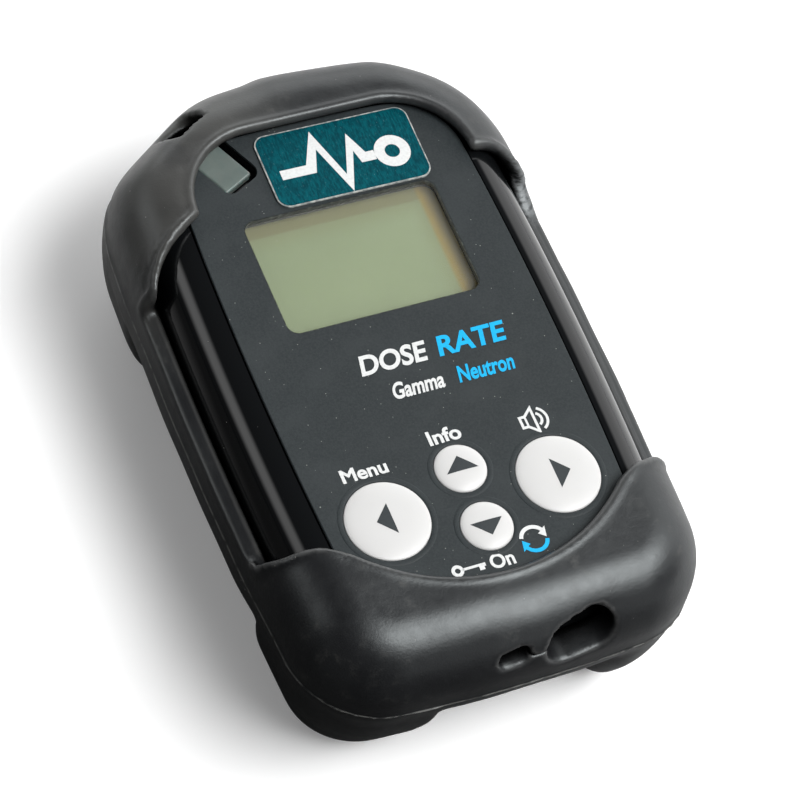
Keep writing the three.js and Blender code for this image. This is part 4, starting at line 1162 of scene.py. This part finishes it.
def add_floor():
    """A plain pale floor, which sends less light back to the meter from its dark front left side."""
    s = Shader("floor", roughness=0.9, emission_color=shade(1.0))
    pale = s.mix(s.noise(60, 2), (0.86, 0.86, 0.86), (0.9, 0.9, 0.9))
    towards = s.math("ADD", s.times(s.axis(0), 0.75), s.times(s.axis(1), 0.66))
    bounce = s.mix(s.ramp(towards, -65, 75), shade(0.02), shade(0.85))
    seen = s.node("LightPath", "Is Camera Ray")
    s.paint(seen, bounce, pale)
    far = s.ramp(s.node("VectorMath", 1, operation="LENGTH", Vector=s.place), 0.4, 1.4)
    s.set(emission_strength=s.times(seen, s.scale(far, 0.15, 0.85)))
    half = 8000  # so wide that low views still see it behind the meter
    square = [(-half, -half, 0), (half, -half, 0), (half, half, 0), (-half, half, 0)]
    add_mesh("floor", square, [(0, 1, 2, 3)], s.finish())


def look_back(obj, away, distance, roll=0.0):
    """Stands an object off the meter in a direction, facing the meter; distance in metres."""
    obj.location = FOCUS + away * distance
    obj.rotation_mode = "QUATERNION"
    obj.rotation_quaternion = away.to_track_quat("Z", "Y") @ Matrix.Rotation(roll, 3, "Z").to_quaternion()


def add_light(name, direction, distance, width, height, radiance, fade=0.3):
    """A soft box that faces the meter from a direction and fades towards its edges; its size in metres."""
    lamp = bpy.data.lights.new(name, "AREA")
    lamp.shape, lamp.size, lamp.size_y = "RECTANGLE", width, height
    lamp.energy = radiance * math.pi * width * height
    lamp.use_nodes = True
    n = Nodes(lamp.node_tree)
    place = n.node("NewGeometry", "Parametric")
    edges = itertools.product(range(2), ((0, fade), (1, 1 - fade)))
    ramps = [n.ramp(n.node("SeparateXYZ", axis, place), *limits) for axis, limits in edges]
    n.feed(lamp.node_tree.nodes["Emission"].inputs["Strength"], n.times(*ramps))
    look_back(new_object(name, lamp), Vector(direction).normalized(), distance)


def add_lights():
    """Columns: name, direction, distance, width, height, radiance, and the faded share of each edge."""
    add_light("front_box", (0.37, -0.33, 0.87), 0.9, 1.1, 0.75, 11.5, 0.35)
    add_light("right_wall", (0.88, 0.34, 0.34), 1.0, 1.9, 1.1, 1.5, 0.25)
    add_light("left_strip", (-0.78, 0.5, 0.38), 0.9, 1.0, 0.55, 1.8, 0.4)
    add_light("back_box", (0.2, 0.92, 0.34), 1.0, 1.6, 0.9, 1.9, 0.3)
    add_light("front_low", (0.4, -0.88, 0.1), 0.9, 0.9, 0.45, 1.0, 0.4)
    world = bpy.data.worlds.new("studio")
    world.use_nodes = True
    sky = world.node_tree.nodes["Background"].inputs
    sky["Color"].default_value, sky["Strength"].default_value = (0.95, 0.97, 1, 1), 0.055
    bpy.context.scene.world = world


def add_camera():
    """The camera looks down on the meter from its lower left, rolled a little."""
    elevation, azimuth, roll = (math.radians(a) for a in (57.15, -39.2, 19.6))
    flat = math.cos(elevation)
    away = Vector((math.sin(azimuth) * flat, -math.cos(azimuth) * flat, math.sin(elevation)))
    data = bpy.data.cameras.new("camera")
    data.lens, data.sensor_width = 159.4, 36
    data.clip_start, data.clip_end = 0.05, 10
    camera = new_object("camera", data)
    look_back(camera, away, 0.5224, roll)
    bpy.context.scene.camera = camera


# ---- the whole scene

make_sleeve()
make_front_shell()
make_overlay()
for node, turn in (("key_left", 180), ("key_right", 0), ("key_up", 90), ("key_down", -90)):
    make_key(node, turn)
    make_key_surround(node)
make_light_pipe()
make_window_rim()
make_legends()
make_speaker_icon()
make_key_icon()
make_cycle_icon()
make_label()
dress_cad_nodes()
add_floor()
add_lights()
add_camera()
bpy.context.scene.view_settings.view_transform = "Standard"
